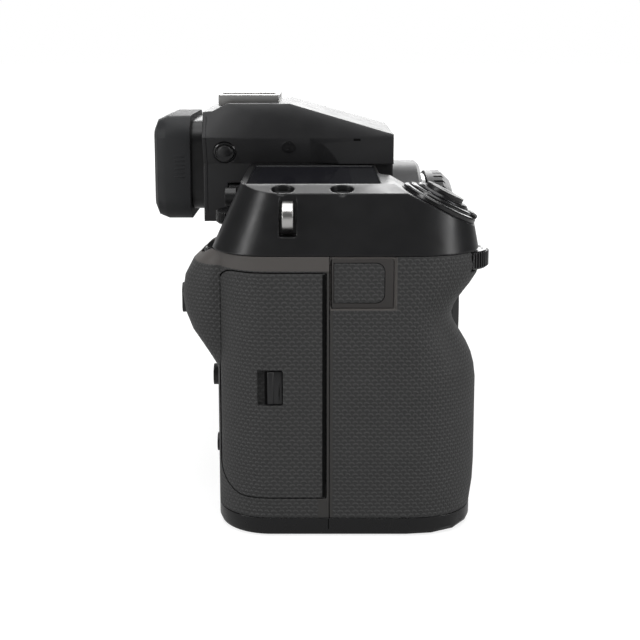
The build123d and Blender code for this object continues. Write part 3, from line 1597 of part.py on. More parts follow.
def eyecup():
    """The rubber eyecup: a rounded ring that flares towards the eye."""
    face = eyecup_y[1] - eyecup_round
    centre_z = middle(eyecup_z)
    half_height = length(eyecup_z) / 2
    sections = []
    for step in range(rim_steps + 1):
        angle = math.radians(90 * step / rim_steps)
        inset = eyecup_round * (1 - math.cos(angle))
        outline = RectangleRounded(2 * (eyecup_half_width - inset), 2 * (half_height - inset),
                                   eyecup_radius - inset)
        sections.append(Plane.XZ.offset(-face - eyecup_round * math.sin(angle)) * Pos(0, centre_z) * outline)
    cup = slab("y", around(0, eyecup_half_width), eyecup_z, (eyecup_y[0], face), eyecup_radius)
    cup += loft(sections, ruled=True)
    mouth = [Plane.XZ.offset(-eyecup_y[1]) * Pos(0, middle(eyepiece_z)) * RectangleRounded(
        2 * (window_half_width + eyecup_flare), 2 * (window_half_height + eyecup_flare),
        small_radius + eyecup_flare),
        Plane.XZ.offset(-eyecup_y[0]) * Pos(0, middle(eyepiece_z)) * RectangleRounded(
        2 * window_half_width, 2 * window_half_height, small_radius)]
    return cup - loft(mouth, ruled=True)


def hot_shoe():
    """The accessory shoe in the finder's roof: floor, side rails with lips, and a stop."""
    floor_z = finder_ridge_z - shoe_sink
    slot_low = floor_z + shoe_floor
    slot_high = slot_low + shoe_slot_height
    shoe = block(around(0, shoe_half_width), shoe_y, (floor_z, slot_high + shoe_lip))
    shoe -= block(around(0, shoe_slot_half_width), (shoe_y[0] - overrun, shoe_y[1] + overrun),
                  (slot_low, slot_high))
    shoe -= block(around(0, shoe_lip_half_gap), (shoe_y[0] - overrun, shoe_y[1] + overrun),
                  (slot_low, slot_high + overrun))
    return shoe + block(around(0, shoe_half_width), (shoe_y[0] - shoe_stop_length, shoe_y[0]),
                        (floor_z, slot_high + shoe_lip))


def monitor_pin_holes():
    """The holes in the recess walls for the pins of the monitor's arm."""
    span = grown(recess_x, monitor_pin_reach + seat_gap)
    return rod("x", (monitor_axis_y, low_axis_z), span, monitor_pin_radius + running_gap)


def hinge_ear(x_span, axis_z, plate_y, plate_z):
    """A hinge ear that reaches from a plate's edge back to the hinge line."""
    ear = rod("x", (monitor_axis_y, axis_z), x_span, ear_radius)
    low, high = min(axis_z - ear_radius, plate_z), max(axis_z + ear_radius, plate_z)
    return ear + slab("x", (plate_y, monitor_axis_y), (low, high), x_span)


arm_x = (recess_x[0] + plate_gap, recess_x[1] - plate_gap)
arm_y = (recess_floor_y + plate_gap, recess_floor_y + plate_gap + plate_thickness)
frame_x = (arm_x[0] + ear_thickness + plate_gap, arm_x[1] - ear_thickness - plate_gap)
frame_y = (arm_y[1] + plate_gap, arm_y[1] + plate_gap + plate_thickness)
frame_z = (panel_z[0] + ear_radius, panel_z[1])


def ear_spans(x_span):
    """The thickness of the ears at both ends of a plate."""
    return ((x_span[0], x_span[0] + ear_thickness), (x_span[1] - ear_thickness, x_span[1]))


def monitor_arm():
    """The first plate of the monitor's linkage: it turns on the body at its lower edge."""
    z_span = (low_axis_z - ear_radius, high_axis_z + ear_radius)
    plate = slab("y", arm_x, z_span, arm_y)
    plate -= slab("y", grown(arm_x, -frame_window_margin), grown(z_span, -frame_window_margin),
                  grown(arm_y, overrun))
    for x_span in ear_spans(arm_x):
        plate += hinge_ear(x_span, low_axis_z, arm_y[0], low_axis_z + 2 * ear_radius)
        plate += hinge_ear(x_span, high_axis_z, arm_y[0], high_axis_z - 2 * ear_radius)
    near_pin_x = (arm_x[0] - monitor_pin_reach, arm_x[0] + ear_thickness)
    far_pin_x = (arm_x[1] - ear_thickness, arm_x[1] + monitor_pin_reach)
    for x_span in (near_pin_x, far_pin_x):
        plate += rod("x", (monitor_axis_y, low_axis_z), x_span, monitor_pin_radius)
    return plate - rod("x", (monitor_axis_y, high_axis_z), grown(arm_x, overrun),
                       monitor_pin_radius + running_gap)


def monitor_tilt_frame():
    """The second plate of the linkage: it turns on the arm at its upper edge."""
    plate = slab("y", frame_x, frame_z, frame_y)
    plate -= slab("y", grown(frame_x, -frame_window_margin), grown(frame_z, -frame_window_margin),
                  grown(frame_y, overrun))
    for x_span in ear_spans(frame_x):
        plate += hinge_ear(x_span, high_axis_z, frame_y[0], frame_z[1] - 2 * ear_radius)
    near_pin_x = (frame_x[0] - monitor_pin_reach, frame_x[0] + ear_thickness)
    far_pin_x = (frame_x[1] - ear_thickness, frame_x[1] + monitor_pin_reach)
    for x_span in (near_pin_x, far_pin_x):
        plate += rod("x", (monitor_axis_y, high_axis_z), x_span, monitor_pin_radius)
    for z_span in swing_tab_spans():
        tab_x = around(swing_axis_x, swing_barrel_radius)
        plate += rod("z", (swing_axis_x, swing_axis_y), z_span, swing_barrel_radius)
        plate += block(tab_x, (frame_y[1] - plate_thickness / 2, swing_axis_y), z_span)
    swing_span = grown(frame_z, -swing_tab_inset + overrun)
    return plate - rod("z", (swing_axis_x, swing_axis_y), swing_span, monitor_pin_radius + running_gap)


def swing_tab_spans():
    """The heights of the two hinge lugs that the panel swings on."""
    low, high = frame_z[0] + swing_tab_inset, frame_z[1] - swing_tab_inset
    return ((low, low + swing_tab_height), (high - swing_tab_height, high))


def monitor_housing():
    """The monitor's case: it swings on the tilt frame about an upright pin."""
    case = slab("y", panel_x, panel_z, panel_y, panel_radius)
    screen_x, screen_z = grown(panel_x, -screen_margin_x), grown(panel_z, -screen_margin_z)
    case -= slab("y", screen_x, screen_z, (panel_y[1] - screen_thickness, panel_y[1] + overrun), small_radius)
    low_tab, high_tab = swing_tab_spans()
    barrel_z = (low_tab[1] + plate_gap, high_tab[0] - plate_gap)
    case += rod("z", (swing_axis_x, swing_axis_y), barrel_z, swing_barrel_radius)
    case += block((swing_axis_x, panel_x[0] + small_radius), around(swing_axis_y, swing_barrel_radius),
                  barrel_z)
    for span in ((low_tab[0], barrel_z[0]), (barrel_z[1], high_tab[1])):
        case += rod("z", (swing_axis_x, swing_axis_y), span, monitor_pin_radius)
    return case


def monitor_screen():
    """The screen glass of the rear monitor."""
    screen_x, screen_z = grown(panel_x, -screen_margin_x), grown(panel_z, -screen_margin_z)
    return slab("y", grown(screen_x, -running_gap), grown(screen_z, -running_gap),
                (panel_y[1] - screen_thickness, panel_y[1]), small_radius)


def rear_button(name):
    """A round push button in the back of the casing."""
    floor_y = rear_face_y - button_length + seat_gap + button_proud
    return rod("y", rear_buttons[name], (floor_y, rear_face_y + button_proud), button_radius)


def skirt_button():
    """The round button in the rear skirt of the top cover."""
    y_span = (slope_button_floor() + seat_gap + button_proud, bed_rear_y - button_proud)
    return rod("y", (slope_button_x, slope_button_z), y_span, button_radius)


def quick_outline(grow):
    """The oval outline of the quick menu button."""
    width, height = quick_width / 2 + grow, quick_height / 2 + grow
    return around(thumb_crest_x, width), around(quick_z, height), width - grow / 2


def quick_pocket():
    """The oval pocket of the quick menu button in the thumb rest."""
    x_span, z_span, radius = quick_outline(button_clearance)
    crest = thumb_crest_y(quick_z)
    return slab("y", x_span, z_span, (crest - quick_depth, crest + overrun), radius)


def quick_button():
    """The oval quick menu button on the crest of the thumb rest."""
    x_span, z_span, radius = quick_outline(0)
    crest = thumb_crest_y(quick_z)
    y_span = (crest - quick_depth + seat_gap + quick_proud, crest + quick_proud)
    return slab("y", x_span, z_span, y_span, radius - running_gap)


def focus_stick():
    """The focus stick: a broad cap on a thin stem that tilts in its collar."""
    cap_y = (rear_face_y - stick_collar_depth / 2, rear_face_y + stick_proud)
    stick = rod("y", (stick_x, stick_z), cap_y, stick_radius - seat_gap)
    return stick + rod("y", (stick_x, stick_z), (rear_face_y - stick_length, cap_y[0]), stick_stem_radius)


NODES = (
    hand_grip,
    front_casing,
    rear_casing,
    top_cover,
    base_cover,
    tripod_socket,
    chassis,
    mount_collar,
    lens_mount,
    mount_contacts,
    lens_lock_pin,
    lens_release_button,
    body_cap,
    shutter_unit,
    shutter_blades,
    stabiliser_base,
    image_sensor,
    main_board,
    card_slot_unit,
    battery_chamber,
    battery,
    battery_door,
    battery_latch,
    card_door,
    card_latch,
    mic_cover,
    port_cover,
    side_terminals,
    remote_cover,
    remote_jack,
    focus_lamp,
    strap_lugs,
    sub_monitor_glass,
    front_dial,
    rear_dial,
    focus_dial,
    power_lever,
    shutter_button,
    mode_dial,
    mode_lock_button,
    finder_rail,
    finder_housing,
    hot_shoe,
    eyepiece_lens,
    eyecup,
    view_button,
    diopter_dial,
    finder_release,
    monitor_arm,
    monitor_tilt_frame,
    monitor_housing,
    monitor_screen,
    skirt_button,
    quick_button,
    focus_stick,
    sub_monitor_light_button,
    sub_monitor_mode_button,
)


def main():
    """Build every piece and write its file."""
    os.makedirs("parts", exist_ok=True)
    pieces = {build.__name__: build() for build in NODES}
    pieces.update({name: rear_button(name) for name in rear_buttons})
    for name, piece in pieces.items():
        export_step(piece, "parts/" + name + ".step")


main()
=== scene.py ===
import logging
import math
from dataclasses import dataclass
from enum import Enum
from typing import Any, Sequence

import bmesh
import bpy
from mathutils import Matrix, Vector


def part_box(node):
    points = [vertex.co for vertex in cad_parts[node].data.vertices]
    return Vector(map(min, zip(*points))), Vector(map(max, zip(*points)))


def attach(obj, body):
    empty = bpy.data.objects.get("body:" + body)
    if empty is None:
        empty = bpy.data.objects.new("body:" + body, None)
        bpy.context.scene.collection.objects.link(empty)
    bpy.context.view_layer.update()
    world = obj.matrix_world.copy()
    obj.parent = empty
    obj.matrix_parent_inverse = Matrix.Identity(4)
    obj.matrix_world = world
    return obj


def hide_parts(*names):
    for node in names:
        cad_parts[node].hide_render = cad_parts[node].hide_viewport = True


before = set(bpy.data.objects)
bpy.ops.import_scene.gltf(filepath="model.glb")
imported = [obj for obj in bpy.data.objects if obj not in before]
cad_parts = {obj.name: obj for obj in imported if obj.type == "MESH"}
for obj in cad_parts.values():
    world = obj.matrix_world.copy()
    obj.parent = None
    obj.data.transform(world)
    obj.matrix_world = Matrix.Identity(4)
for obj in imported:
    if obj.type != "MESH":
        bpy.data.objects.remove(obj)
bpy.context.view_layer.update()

LOG = logging.getLogger("camera")
MM = 0.001
MERGE_DISTANCE = 0.00001
SAME_POINT_MM = 0.0005
SHARP_ANGLE = math.radians(32)
NOISE_LOW, NOISE_HIGH = 0.3, 0.7
TONE_CLOUD_MM = 14
SMEAR_MM = 6
BEVEL_SAMPLES = 6
PURE_WHITE = (1.0, 1.0, 1.0, 1.0)

Socket = bpy.types.NodeSocket
Tree = bpy.types.NodeTree


class Side(Enum):
    """Which way the leatherette's rows run on round a corner."""

    FRONT_CORNER = -1.0
    REAR_CORNER = 1.0


class Drive(Enum):
    """What a screw is turned with."""

    CROSS = "cross"
    SPANNER = "spanner"


def linear(hex_colour: str) -> tuple[float, float, float, float]:
    """Turn an sRGB hex colour into a linear one.

    Args:
        hex_colour: six hex digits after a hash.

    Returns:
        Red, green, blue and alpha between 0 and 1.
    """
    channels = [int(hex_colour[place:place + 2], 16) / 255 for place in (1, 3, 5)]
    red, green, blue = (
        share / 12.92 if share <= 0.04045 else ((share + 0.055) / 1.055) ** 2.4
        for share in channels
    )
    return red, green, blue, 1.0


def add_node(tree: Tree, kind: str, links: dict[str | int, Any] | None = None,
             **settings: Any) -> bpy.types.Node:
    """Add a node, set its options and fill its sockets.

    Args:
        tree: the material's or world's node tree.
        kind: the node's type.
        links: socket name or place to a value or to another node's output.
        **settings: the node's own options.

    Returns:
        The new node.
    """
    node = tree.nodes.new(kind)
    for option, value in settings.items():
        setattr(node, option, value)
    for name, value in (links or {}).items():
        socket = node.inputs[name]
        if isinstance(value, Socket):
            tree.links.new(value, socket)
        else:
            socket.default_value = value
    return node


def reckon(tree: Tree, operation: str, *terms: Socket | float) -> Socket:
    """Work out one sum in the node tree.

    Args:
        tree: the material's or world's node tree.
        operation: the Math node's operation.
        *terms: its inputs in order.

    Returns:
        The result's socket.
    """
    return add_node(tree, "ShaderNodeMath", dict(enumerate(terms)), operation=operation).outputs[0]


@dataclass(frozen=True)
class Finish:
    """A surface: what it is made of, and how it meets the light."""

    name: str
    colour: str
    roughness: float = 0.5
    metallic: float = 0.0
    specular: float = 0.5
    coat: float = 0.0
    coat_roughness: float = 0.1
    sheen: float = 0.0
    grain_mm: float = 0.0
    grain_depth_mm: float = 0.0
    tone_spread: float = 0.05
    roughness_spread: float = 0.04
    edge_mm: float = 0.0

    def material(self) -> bpy.types.Material:
        """Make the material once; after that it is shared.

        Returns:
            The material.
        """
        made = bpy.data.materials.get(self.name)
        if made is not None:
            return made
        made = bpy.data.materials.new(self.name)
        made.use_nodes = True
        tree = made.node_tree
        tree.nodes.clear()
        place = add_node(tree, "ShaderNodeTexCoord").outputs["Object"]
        shader = add_node(tree, "ShaderNodeBsdfPrincipled", {
            "Metallic": self.metallic, "Roughness": self.roughness,
            "Specular IOR Level": self.specular, "Coat Weight": self.coat,
            "Coat Roughness": self.coat_roughness, "Sheen Weight": self.sheen,
        })
        self.colouring(tree, shader, place)
        self.handling(tree, shader, place)
        self.relief(tree, shader, place)
        add_node(tree, "ShaderNodeOutputMaterial", {"Surface": shader.outputs["BSDF"]})
        return made

    def colouring(self, tree: Tree, shader: bpy.types.Node, place: Socket) -> None:
        """Set the base colour, with slow changes of tone where the surface has them.

        Args:
            tree: the material's node tree.
            shader: the surface shader.
            place: the object coordinates.
        """
        cloud = add_node(tree, "ShaderNodeTexNoise", {
            "Vector": place, "Scale": 1 / (TONE_CLOUD_MM * MM), "Detail": 5.0,
            "Roughness": 0.6})
        share = add_node(tree, "ShaderNodeMapRange", {
            "Value": cloud.outputs["Fac"], "From Min": NOISE_LOW, "From Max": NOISE_HIGH,
            "To Min": 1 - self.tone_spread, "To Max": 1 + self.tone_spread})
        tone = add_node(tree, "ShaderNodeHueSaturation", {
            "Color": linear(self.colour), "Value": share.outputs["Result"]})
        tree.links.new(tone.outputs["Color"], shader.inputs["Base Color"])

    def handling(self, tree: Tree, shader: bpy.types.Node, place: Socket) -> None:
        """Let the gloss vary a little, as hands and cleaning leave it.

        Args:
            tree: the material's node tree.
            shader: the surface shader.
            place: the object coordinates.
        """
        if not self.roughness_spread:
            return
        smear = add_node(tree, "ShaderNodeTexNoise", {
            "Vector": place, "Scale": 1 / (SMEAR_MM * MM), "Detail": 3.0, "Distortion": 0.4})
        gloss = add_node(tree, "ShaderNodeMapRange", {
            "Value": smear.outputs["Fac"], "From Min": NOISE_LOW, "From Max": NOISE_HIGH,
            "To Min": max(self.roughness - self.roughness_spread, 0.0),
            "To Max": self.roughness + self.roughness_spread})
        tree.links.new(gloss.outputs["Result"], shader.inputs["Roughness"])

    def height(self, tree: Tree, place: Socket) -> Socket | None:
        """Return the surface's height between 0 and 1, or nothing where it is smooth.

        Args:
            tree: the material's node tree.
            place: the object coordinates.

        Returns:
            The height's socket.
        """
        if not self.grain_mm:
            return None
        grain = add_node(tree, "ShaderNodeTexNoise", {
            "Vector": place, "Scale": 1 / (self.grain_mm * MM), "Detail": 2.0})
        return grain.outputs["Fac"]

    def relief(self, tree: Tree, shader: bpy.types.Node, place: Socket) -> None:
        """Give the surface its grain and the soft edges of its moulding or paint.

        Args:
            tree: the material's node tree.
            shader: the surface shader.
            place: the object coordinates.
        """
        normal = None
        if self.edge_mm:
            normal = add_node(tree, "ShaderNodeBevel", {"Radius": self.edge_mm * MM},
                              samples=BEVEL_SAMPLES).outputs["Normal"]
        height = self.height(tree, place)
        if height is not None:
            bump = add_node(tree, "ShaderNodeBump", {
                "Height": height, "Distance": self.grain_depth_mm * MM, "Strength": 1.0})
            if normal is not None:
                tree.links.new(normal, bump.inputs["Normal"])
            normal = bump.outputs["Normal"]
        if normal is not None:
            tree.links.new(normal, shader.inputs["Normal"])


@dataclass(frozen=True)
class Zone:
    """A box in the part's frame, in millimetres, inside which a surface is smooth."""

    x: tuple[float, float] = (-500.0, 500.0)
    y: tuple[float, float] = (-500.0, 500.0)
    z: tuple[float, float] = (-500.0, 500.0)

    def share(self, tree: Tree, axes: Sequence[Socket]) -> Socket:
        """Return 1 inside the box and 0 outside it.

        Args:
            tree: the material's node tree.
            axes: the three coordinates, in metres.

        Returns:
            The share's socket.
        """
        spans = (self.x, self.y, self.z)
        within = [reckon(tree, "COMPARE", socket, (low + high) / 2 * MM, (high - low) / 2 * MM)
                  for socket, (low, high) in zip(axes, spans)]
        return reckon(tree, "MULTIPLY", reckon(tree, "MULTIPLY", *within[:2]), within[2])


@dataclass(frozen=True)
class Leatherette(Finish):
    """Embossed vinyl cloth: staggered rows of short arcs, each a raised thread-like ridge."""

    pitch_mm: float = 2.0
    row_mm: float = 1.05
    arc_rise_mm: float = 0.55
    ridge_mm: float = 0.5
    gap_share: float = 0.25
    sway_mm: float = 0.25
    wander_mm: float = 3.5
    cloud_mm: float = 9.0
    # Painted shade between the arcs and painted highlight on their crowns, as shares of the
    # colour.
    hollow_shade_tone: float = 0.85
    crown_highlight_tone: float = 1.45
    side: Side = Side.FRONT_CORNER
    smooth: tuple[tuple[Zone, str], ...] = ()

    def arcs(self, tree: Tree, place: Socket) -> Socket:
        """Work out the embossed arcs.

        Args:
            tree: the material's node tree.
            place: the object coordinates.

        Returns:
            The arcs' height.
        """
        wander = add_node(tree, "ShaderNodeTexNoise", {
            "Vector": place, "Scale": 1 / (self.wander_mm * MM), "Detail": 1.0}).outputs["Color"]
        centred = add_node(tree, "ShaderNodeVectorMath", {0: wander, 1: (0.5, 0.5, 0.5)},
                           operation="SUBTRACT").outputs[0]
        drift = 2 * self.sway_mm * MM
        swayed = add_node(tree, "ShaderNodeVectorMath", {
            0: centred, 1: (drift, drift, drift), 2: place},
            operation="MULTIPLY_ADD").outputs[0]
        axes = add_node(tree, "ShaderNodeSeparateXYZ", {0: swayed}).outputs
        across = reckon(tree, "MULTIPLY_ADD", axes[0], self.side.value, axes[1])
        column = reckon(tree, "DIVIDE", across, self.pitch_mm * MM)
        level = reckon(tree, "DIVIDE", axes[2], self.row_mm * MM)
        ridges = [self.row_of_arcs(tree, column, level, half) for half in (0.0, 0.5)]
        return reckon(tree, "MAXIMUM", *ridges)

    def row_of_arcs(self, tree: Tree, column: Socket, level: Socket, half: float) -> Socket:
        """Work out every second row, whose arcs stand half a pitch aside from the next row's.

        Args:
            tree: the material's node tree.
            column: the place across, in pitches.
            level: the height, in rows.
            half: 0 for the even rows and a half for the odd ones.

        Returns:
            The height of this set of arcs.
        """
        shifted = reckon(tree, "ADD", column, half)
        along = reckon(tree, "SUBTRACT", reckon(tree, "FRACT", shifted), 0.5)
        bow = reckon(tree, "MULTIPLY", reckon(tree, "MULTIPLY", along, along),
                     4 * self.arc_rise_mm / self.row_mm / 2)
        row = reckon(tree, "ADD", reckon(tree, "MULTIPLY_ADD", level, 0.5, half), bow)
        off = reckon(tree, "ABSOLUTE", reckon(tree, "SUBTRACT", reckon(tree, "FRACT", row), 0.5))
        ridge = add_node(tree, "ShaderNodeMapRange", {
            "Value": off, "From Min": 0.0, "From Max": self.ridge_mm / self.row_mm / 2,
            "To Min": 1.0, "To Max": 0.0}, interpolation_type="SMOOTHSTEP").outputs["Result"]
        ends = add_node(tree, "ShaderNodeMapRange", {
            "Value": reckon(tree, "ABSOLUTE", along), "From Min": self.gap_share, "From Max": 0.5,
            "To Min": 1.0, "To Max": 0.0}, interpolation_type="SMOOTHSTEP").outputs["Result"]
        return reckon(tree, "MULTIPLY", ridge, ends)

    def colouring(self, tree: Tree, shader: bpy.types.Node, place: Socket) -> None:
        """Paint highlight on the arcs' crowns and shade in the cloth between them, and set the
        tones where the cloth is smooth.

        Args:
            tree: the material's node tree.
            shader: the surface shader.
            place: the object coordinates.
        """
        cloud = add_node(tree, "ShaderNodeTexNoise", {
            "Vector": place, "Scale": 1 / (self.cloud_mm * MM), "Detail": 4.0})
        spread = add_node(tree, "ShaderNodeMapRange", {
            "Value": cloud.outputs["Fac"], "From Min": NOISE_LOW, "From Max": NOISE_HIGH,
            "To Min": 1 - self.tone_spread, "To Max": 1 + self.tone_spread})
        # Painted light: the arcs' crowns lightened as painted highlight, the cloth between them
        # darkened as painted shade.
        crown = add_node(tree, "ShaderNodeMapRange", {
            "Value": self.arcs(tree, place), "To Min": self.hollow_shade_tone,
            "To Max": self.crown_highlight_tone})
        value = reckon(tree, "MULTIPLY", crown.outputs["Result"], spread.outputs["Result"])
        colour = add_node(tree, "ShaderNodeHueSaturation", {
            "Color": linear(self.colour), "Value": value}).outputs["Color"]
        axes = add_node(tree, "ShaderNodeSeparateXYZ", {0: place}).outputs
        for zone, tone in self.smooth:
            colour = add_node(tree, "ShaderNodeMixRGB", {
                "Fac": zone.share(tree, axes), "Color1": colour,
                "Color2": linear(tone)}).outputs[0]
        tree.links.new(colour, shader.inputs["Base Color"])

    def height(self, tree: Tree, place: Socket) -> Socket:
        """Return the arcs' height, level where the cloth is smooth.

        Args:
            tree: the material's node tree.
            place: the object coordinates.

        Returns:
            The height's socket.
        """
        height = self.arcs(tree, place)
        axes = add_node(tree, "ShaderNodeSeparateXYZ", {0: place}).outputs
        for zone, _ in self.smooth:
            outside = reckon(tree, "SUBTRACT", 1.0, zone.share(tree, axes))
            height = reckon(tree, "MULTIPLY", height, outside)
        return height


# Vinyl leatherette over rubber foam: matt; its short arcs show as pale dashes on dark grey, with
# painted highlight on their crowns and painted shade between them.
LEATHER = {"roughness": 0.58, "specular": 0.3, "grain_depth_mm": 0.12, "tone_spread": 0.05,
           "edge_mm": 0.45}
VINYL_BLACK = "#363636"
# The smooth strips just under the top cover: their own brown-grey, lightened as painted highlight
# where the top light falls; the seam strips keep the cloth's darker tone.
SMOOTH_STRIP_WITH_HIGHLIGHT = "#514e4c"
SEAM_STRIP = "#373635"
SATIN_BLACK = "#1a1a1a"
GRIP_LEATHERETTE = Leatherette(
    "leatherette_grip", VINYL_BLACK, **LEATHER,
    smooth=((Zone(x=(-90, -84), y=(-17.8, 2), z=(63.1, 90)), SMOOTH_STRIP_WITH_HIGHLIGHT),
            (Zone(y=(-0.9, 2), z=(-1, 63.1)), SEAM_STRIP)))
FRONT_LEATHERETTE = Leatherette("leatherette_front", VINYL_BLACK, **LEATHER,
                                side=Side.REAR_CORNER)
DOOR_LEATHERETTE = Leatherette("leatherette_door", VINYL_BLACK, **LEATHER,
                               side=Side.REAR_CORNER)
REAR_LEATHERETTE = Leatherette(
    "leatherette_rear", VINYL_BLACK, **LEATHER, side=Side.REAR_CORNER,
    smooth=((Zone(z=(73.6, 90)), SMOOTH_STRIP_WITH_HIGHLIGHT), (Zone(x=(-47, 90)), SATIN_BLACK),
            (Zone(x=(-90, -84), y=(-1, 3), z=(-1, 73.6)), SEAM_STRIP)))
# The finishes from here on have grains of 0.1 to 0.5 mm. The real grit is finer; it is drawn
# that coarse so that it shows.
# Magnesium die casting under satin black paint: near black, with soft broad highlights.
COVER_PAINT = Finish("satin_paint_on_magnesium", "#19191a", roughness=0.32, specular=0.35,
                     grain_mm=0.12, grain_depth_mm=0.003, edge_mm=0.6)
BASE_PAINT = Finish("semi_gloss_paint_on_magnesium", "#101011", roughness=0.28,
                    specular=0.35, grain_mm=0.15, grain_depth_mm=0.003, edge_mm=0.4)
# Spark-eroded ABS: a fine even sand that scatters light.
FINDER_PLASTIC = Finish("sand_textured_abs", "#242425", roughness=0.36, specular=0.4,
                        grain_mm=0.22, grain_depth_mm=0.012, edge_mm=0.6)
# Moulded ABS with a satin skin: buttons and catches gleam a little at their rims.
CONTROL_PLASTIC = Finish("satin_abs", "#151516", roughness=0.38, grain_mm=0.1,
                         grain_depth_mm=0.003, edge_mm=0.3)
# Moulded ABS with a fine spark grain: an even, slightly dull black over the whole cap.
CAP_PLASTIC = Finish("moulded_abs_cap", "#161617", roughness=0.36, specular=0.4,
                     grain_mm=0.18, grain_depth_mm=0.006)
# Silicone rubber: soft, no sparkle, a faint bloom at the edges.
EYECUP_RUBBER = Finish("silicone_rubber", "#18191b", roughness=0.55, specular=0.35, sheen=0.02,
                       grain_mm=0.25, grain_depth_mm=0.004)
# Thermoplastic elastomer, moulded: matt and a little brown beside the black paint.
FLAP_RUBBER = Finish("elastomer_flap", "#373534", roughness=0.5, specular=0.3, grain_mm=0.3,
                     grain_depth_mm=0.006, edge_mm=0.4)
# Stainless steel, tumbled satin: light, with fine scratches from strap rings.
BRIGHT_STEEL = Finish("satin_stainless_steel", "#c9c8c6", roughness=0.3, metallic=1.0,
                      grain_mm=0.5, grain_depth_mm=0.02, edge_mm=0.3)
# Brass, turned and hard chromed: a bright, even ring.
MOUNT_BRASS = Finish("chromed_brass", "#cfcfce", roughness=0.2, metallic=1.0,
                     grain_mm=0.4, grain_depth_mm=0.002, edge_mm=0.2)
# Gold plate over nickel: small warm points.
CONTACT_GOLD = Finish("gold_plated_contacts", "#c8a35a", roughness=0.28, metallic=1.0,
                      grain_mm=0.1, grain_depth_mm=0.001)
# Black anodised aluminium: turned, then dyed; a dull metal gleam on its ribs.
ANODISED = Finish("black_anodised_aluminium", "#141415", roughness=0.22, specular=0.6,
                  grain_mm=0.2, grain_depth_mm=0.002)
# Turned aluminium under satin paint: a touch lighter than the covers, with a soft band.
COLLAR_PAINT = Finish("painted_aluminium_collar", "#29292b", roughness=0.38, metallic=0.1,
                      grain_mm=0.12, grain_depth_mm=0.004, edge_mm=0.3)
# Die-cast aluminium, left raw: a dull grey skin with a pebbled grain.
FRAME_CASTING = Finish("cast_aluminium", "#8c8d90", roughness=0.5, metallic=1.0,
                       grain_mm=0.4, grain_depth_mm=0.02)
# Pressed sheet steel, zinc plated: grey with a weak sparkle.
SHEET_STEEL = Finish("zinc_plated_sheet", "#a4a5a6", roughness=0.35, metallic=1.0,
                     grain_mm=0.3, grain_depth_mm=0.003)
# Hardened glass over a black printed border.
WINDOW_GLASS = Finish("black_backed_glass", "#1e1f25", roughness=0.06, specular=0.6,
                      coat=1.0, coat_roughness=0.02, roughness_spread=0.02)
# Hardened glass over an unlit liquid crystal panel: almost black and mirror smooth.
SCREEN_GLASS = Finish("screen_glass", "#0b0c0e", roughness=0.05, coat=1.0, coat_roughness=0.02,
                      roughness_spread=0.02)
# Coated lens glass: dark, with a violet cast from its coating.
LENS_GLASS = Finish("coated_lens_glass", "#15121f", roughness=0.03, coat=1.0,
                    coat_roughness=0.01, roughness_spread=0.01)
# Filter glass over silicon: a deep green-blue mirror.
SENSOR_GLASS = Finish("sensor_cover_glass", "#1a2a2c", roughness=0.05, coat=1.0,
                      coat_roughness=0.02, roughness_spread=0.02)
# Fibreglass board with green solder mask.
SOLDER_MASK = Finish("solder_mask_board", "#12452a", roughness=0.35, tone_spread=0.1)
# Moulded polycarbonate, sand textured: plain dull grey.
BATTERY_CASE = Finish("battery_polycarbonate", "#3a3b3e", roughness=0.5, grain_mm=0.2,
                      grain_depth_mm=0.01)
# Cast amber acrylic: a small glossy dot of warm colour.
LAMP_LENS = Finish("amber_acrylic", "#6b3a18", roughness=0.15, coat=0.6)
# Enamel pressed into engraved marks: clean white, a little chalky.
MARK_PAINT = Finish("white_filled_mark", "#cfcfcb", roughness=0.6, grain_mm=0.1,
                    grain_depth_mm=0.002)
# Blackened steel screws: dark, with a worn gleam on the drive.
BLACK_STEEL = Finish("blackened_steel_screw", "#343436", roughness=0.3, metallic=0.9,
                     grain_mm=0.15, grain_depth_mm=0.004, edge_mm=0.1)
# Painted shade: matt near-black laid in gaps, slots, slits and grooves, for the dark that an
# opening keeps.
PAINTED_GAP_SHADE = Finish("painted_gap_shade", "#060606", roughness=0.85, specular=0.1,
                    grain_mm=0.1, grain_depth_mm=0.01)

DRESS: dict[Finish, tuple[str, ...]] = {
    GRIP_LEATHERETTE: ("hand_grip",),
    FRONT_LEATHERETTE: ("front_casing",),
    DOOR_LEATHERETTE: ("card_door",),
    REAR_LEATHERETTE: ("rear_casing",),
    COVER_PAINT: ("top_cover", "monitor_housing"),
    BASE_PAINT: ("base_cover", "battery_door"),
    FINDER_PLASTIC: ("finder_housing",),
    CONTROL_PLASTIC: (
        "lens_release_button", "card_latch", "battery_latch", "shutter_button", "mode_lock_button",
        "view_button", "diopter_dial", "finder_release", "skirt_button", "quick_button",
        "focus_stick", "sub_monitor_light_button", "sub_monitor_mode_button", "menu_button",
        "play_button", "focus_button", "focus_dial", "side_terminals", "battery_chamber",
        "shutter_blades"),
    CAP_PLASTIC: ("body_cap",),
    EYECUP_RUBBER: ("eyecup",),
    FLAP_RUBBER: ("remote_cover", "mic_cover", "port_cover"),
    BRIGHT_STEEL: ("strap_lugs", "tripod_socket", "remote_jack", "finder_rail", "hot_shoe",
                   "lens_lock_pin"),
    MOUNT_BRASS: ("lens_mount",),
    CONTACT_GOLD: ("mount_contacts",),
    ANODISED: ("front_dial", "rear_dial", "power_lever", "mode_dial", "monitor_arm",
               "monitor_tilt_frame"),
    COLLAR_PAINT: ("mount_collar",),
    FRAME_CASTING: ("chassis", "stabiliser_base"),
    SHEET_STEEL: ("shutter_unit", "card_slot_unit"),
    WINDOW_GLASS: ("sub_monitor_glass",),
    SCREEN_GLASS: ("monitor_screen",),
    LENS_GLASS: ("eyepiece_lens",),
    SENSOR_GLASS: ("image_sensor",),
    SOLDER_MASK: ("main_board",),
    BATTERY_CASE: ("battery",),
    LAMP_LENS: ("focus_lamp",),
}


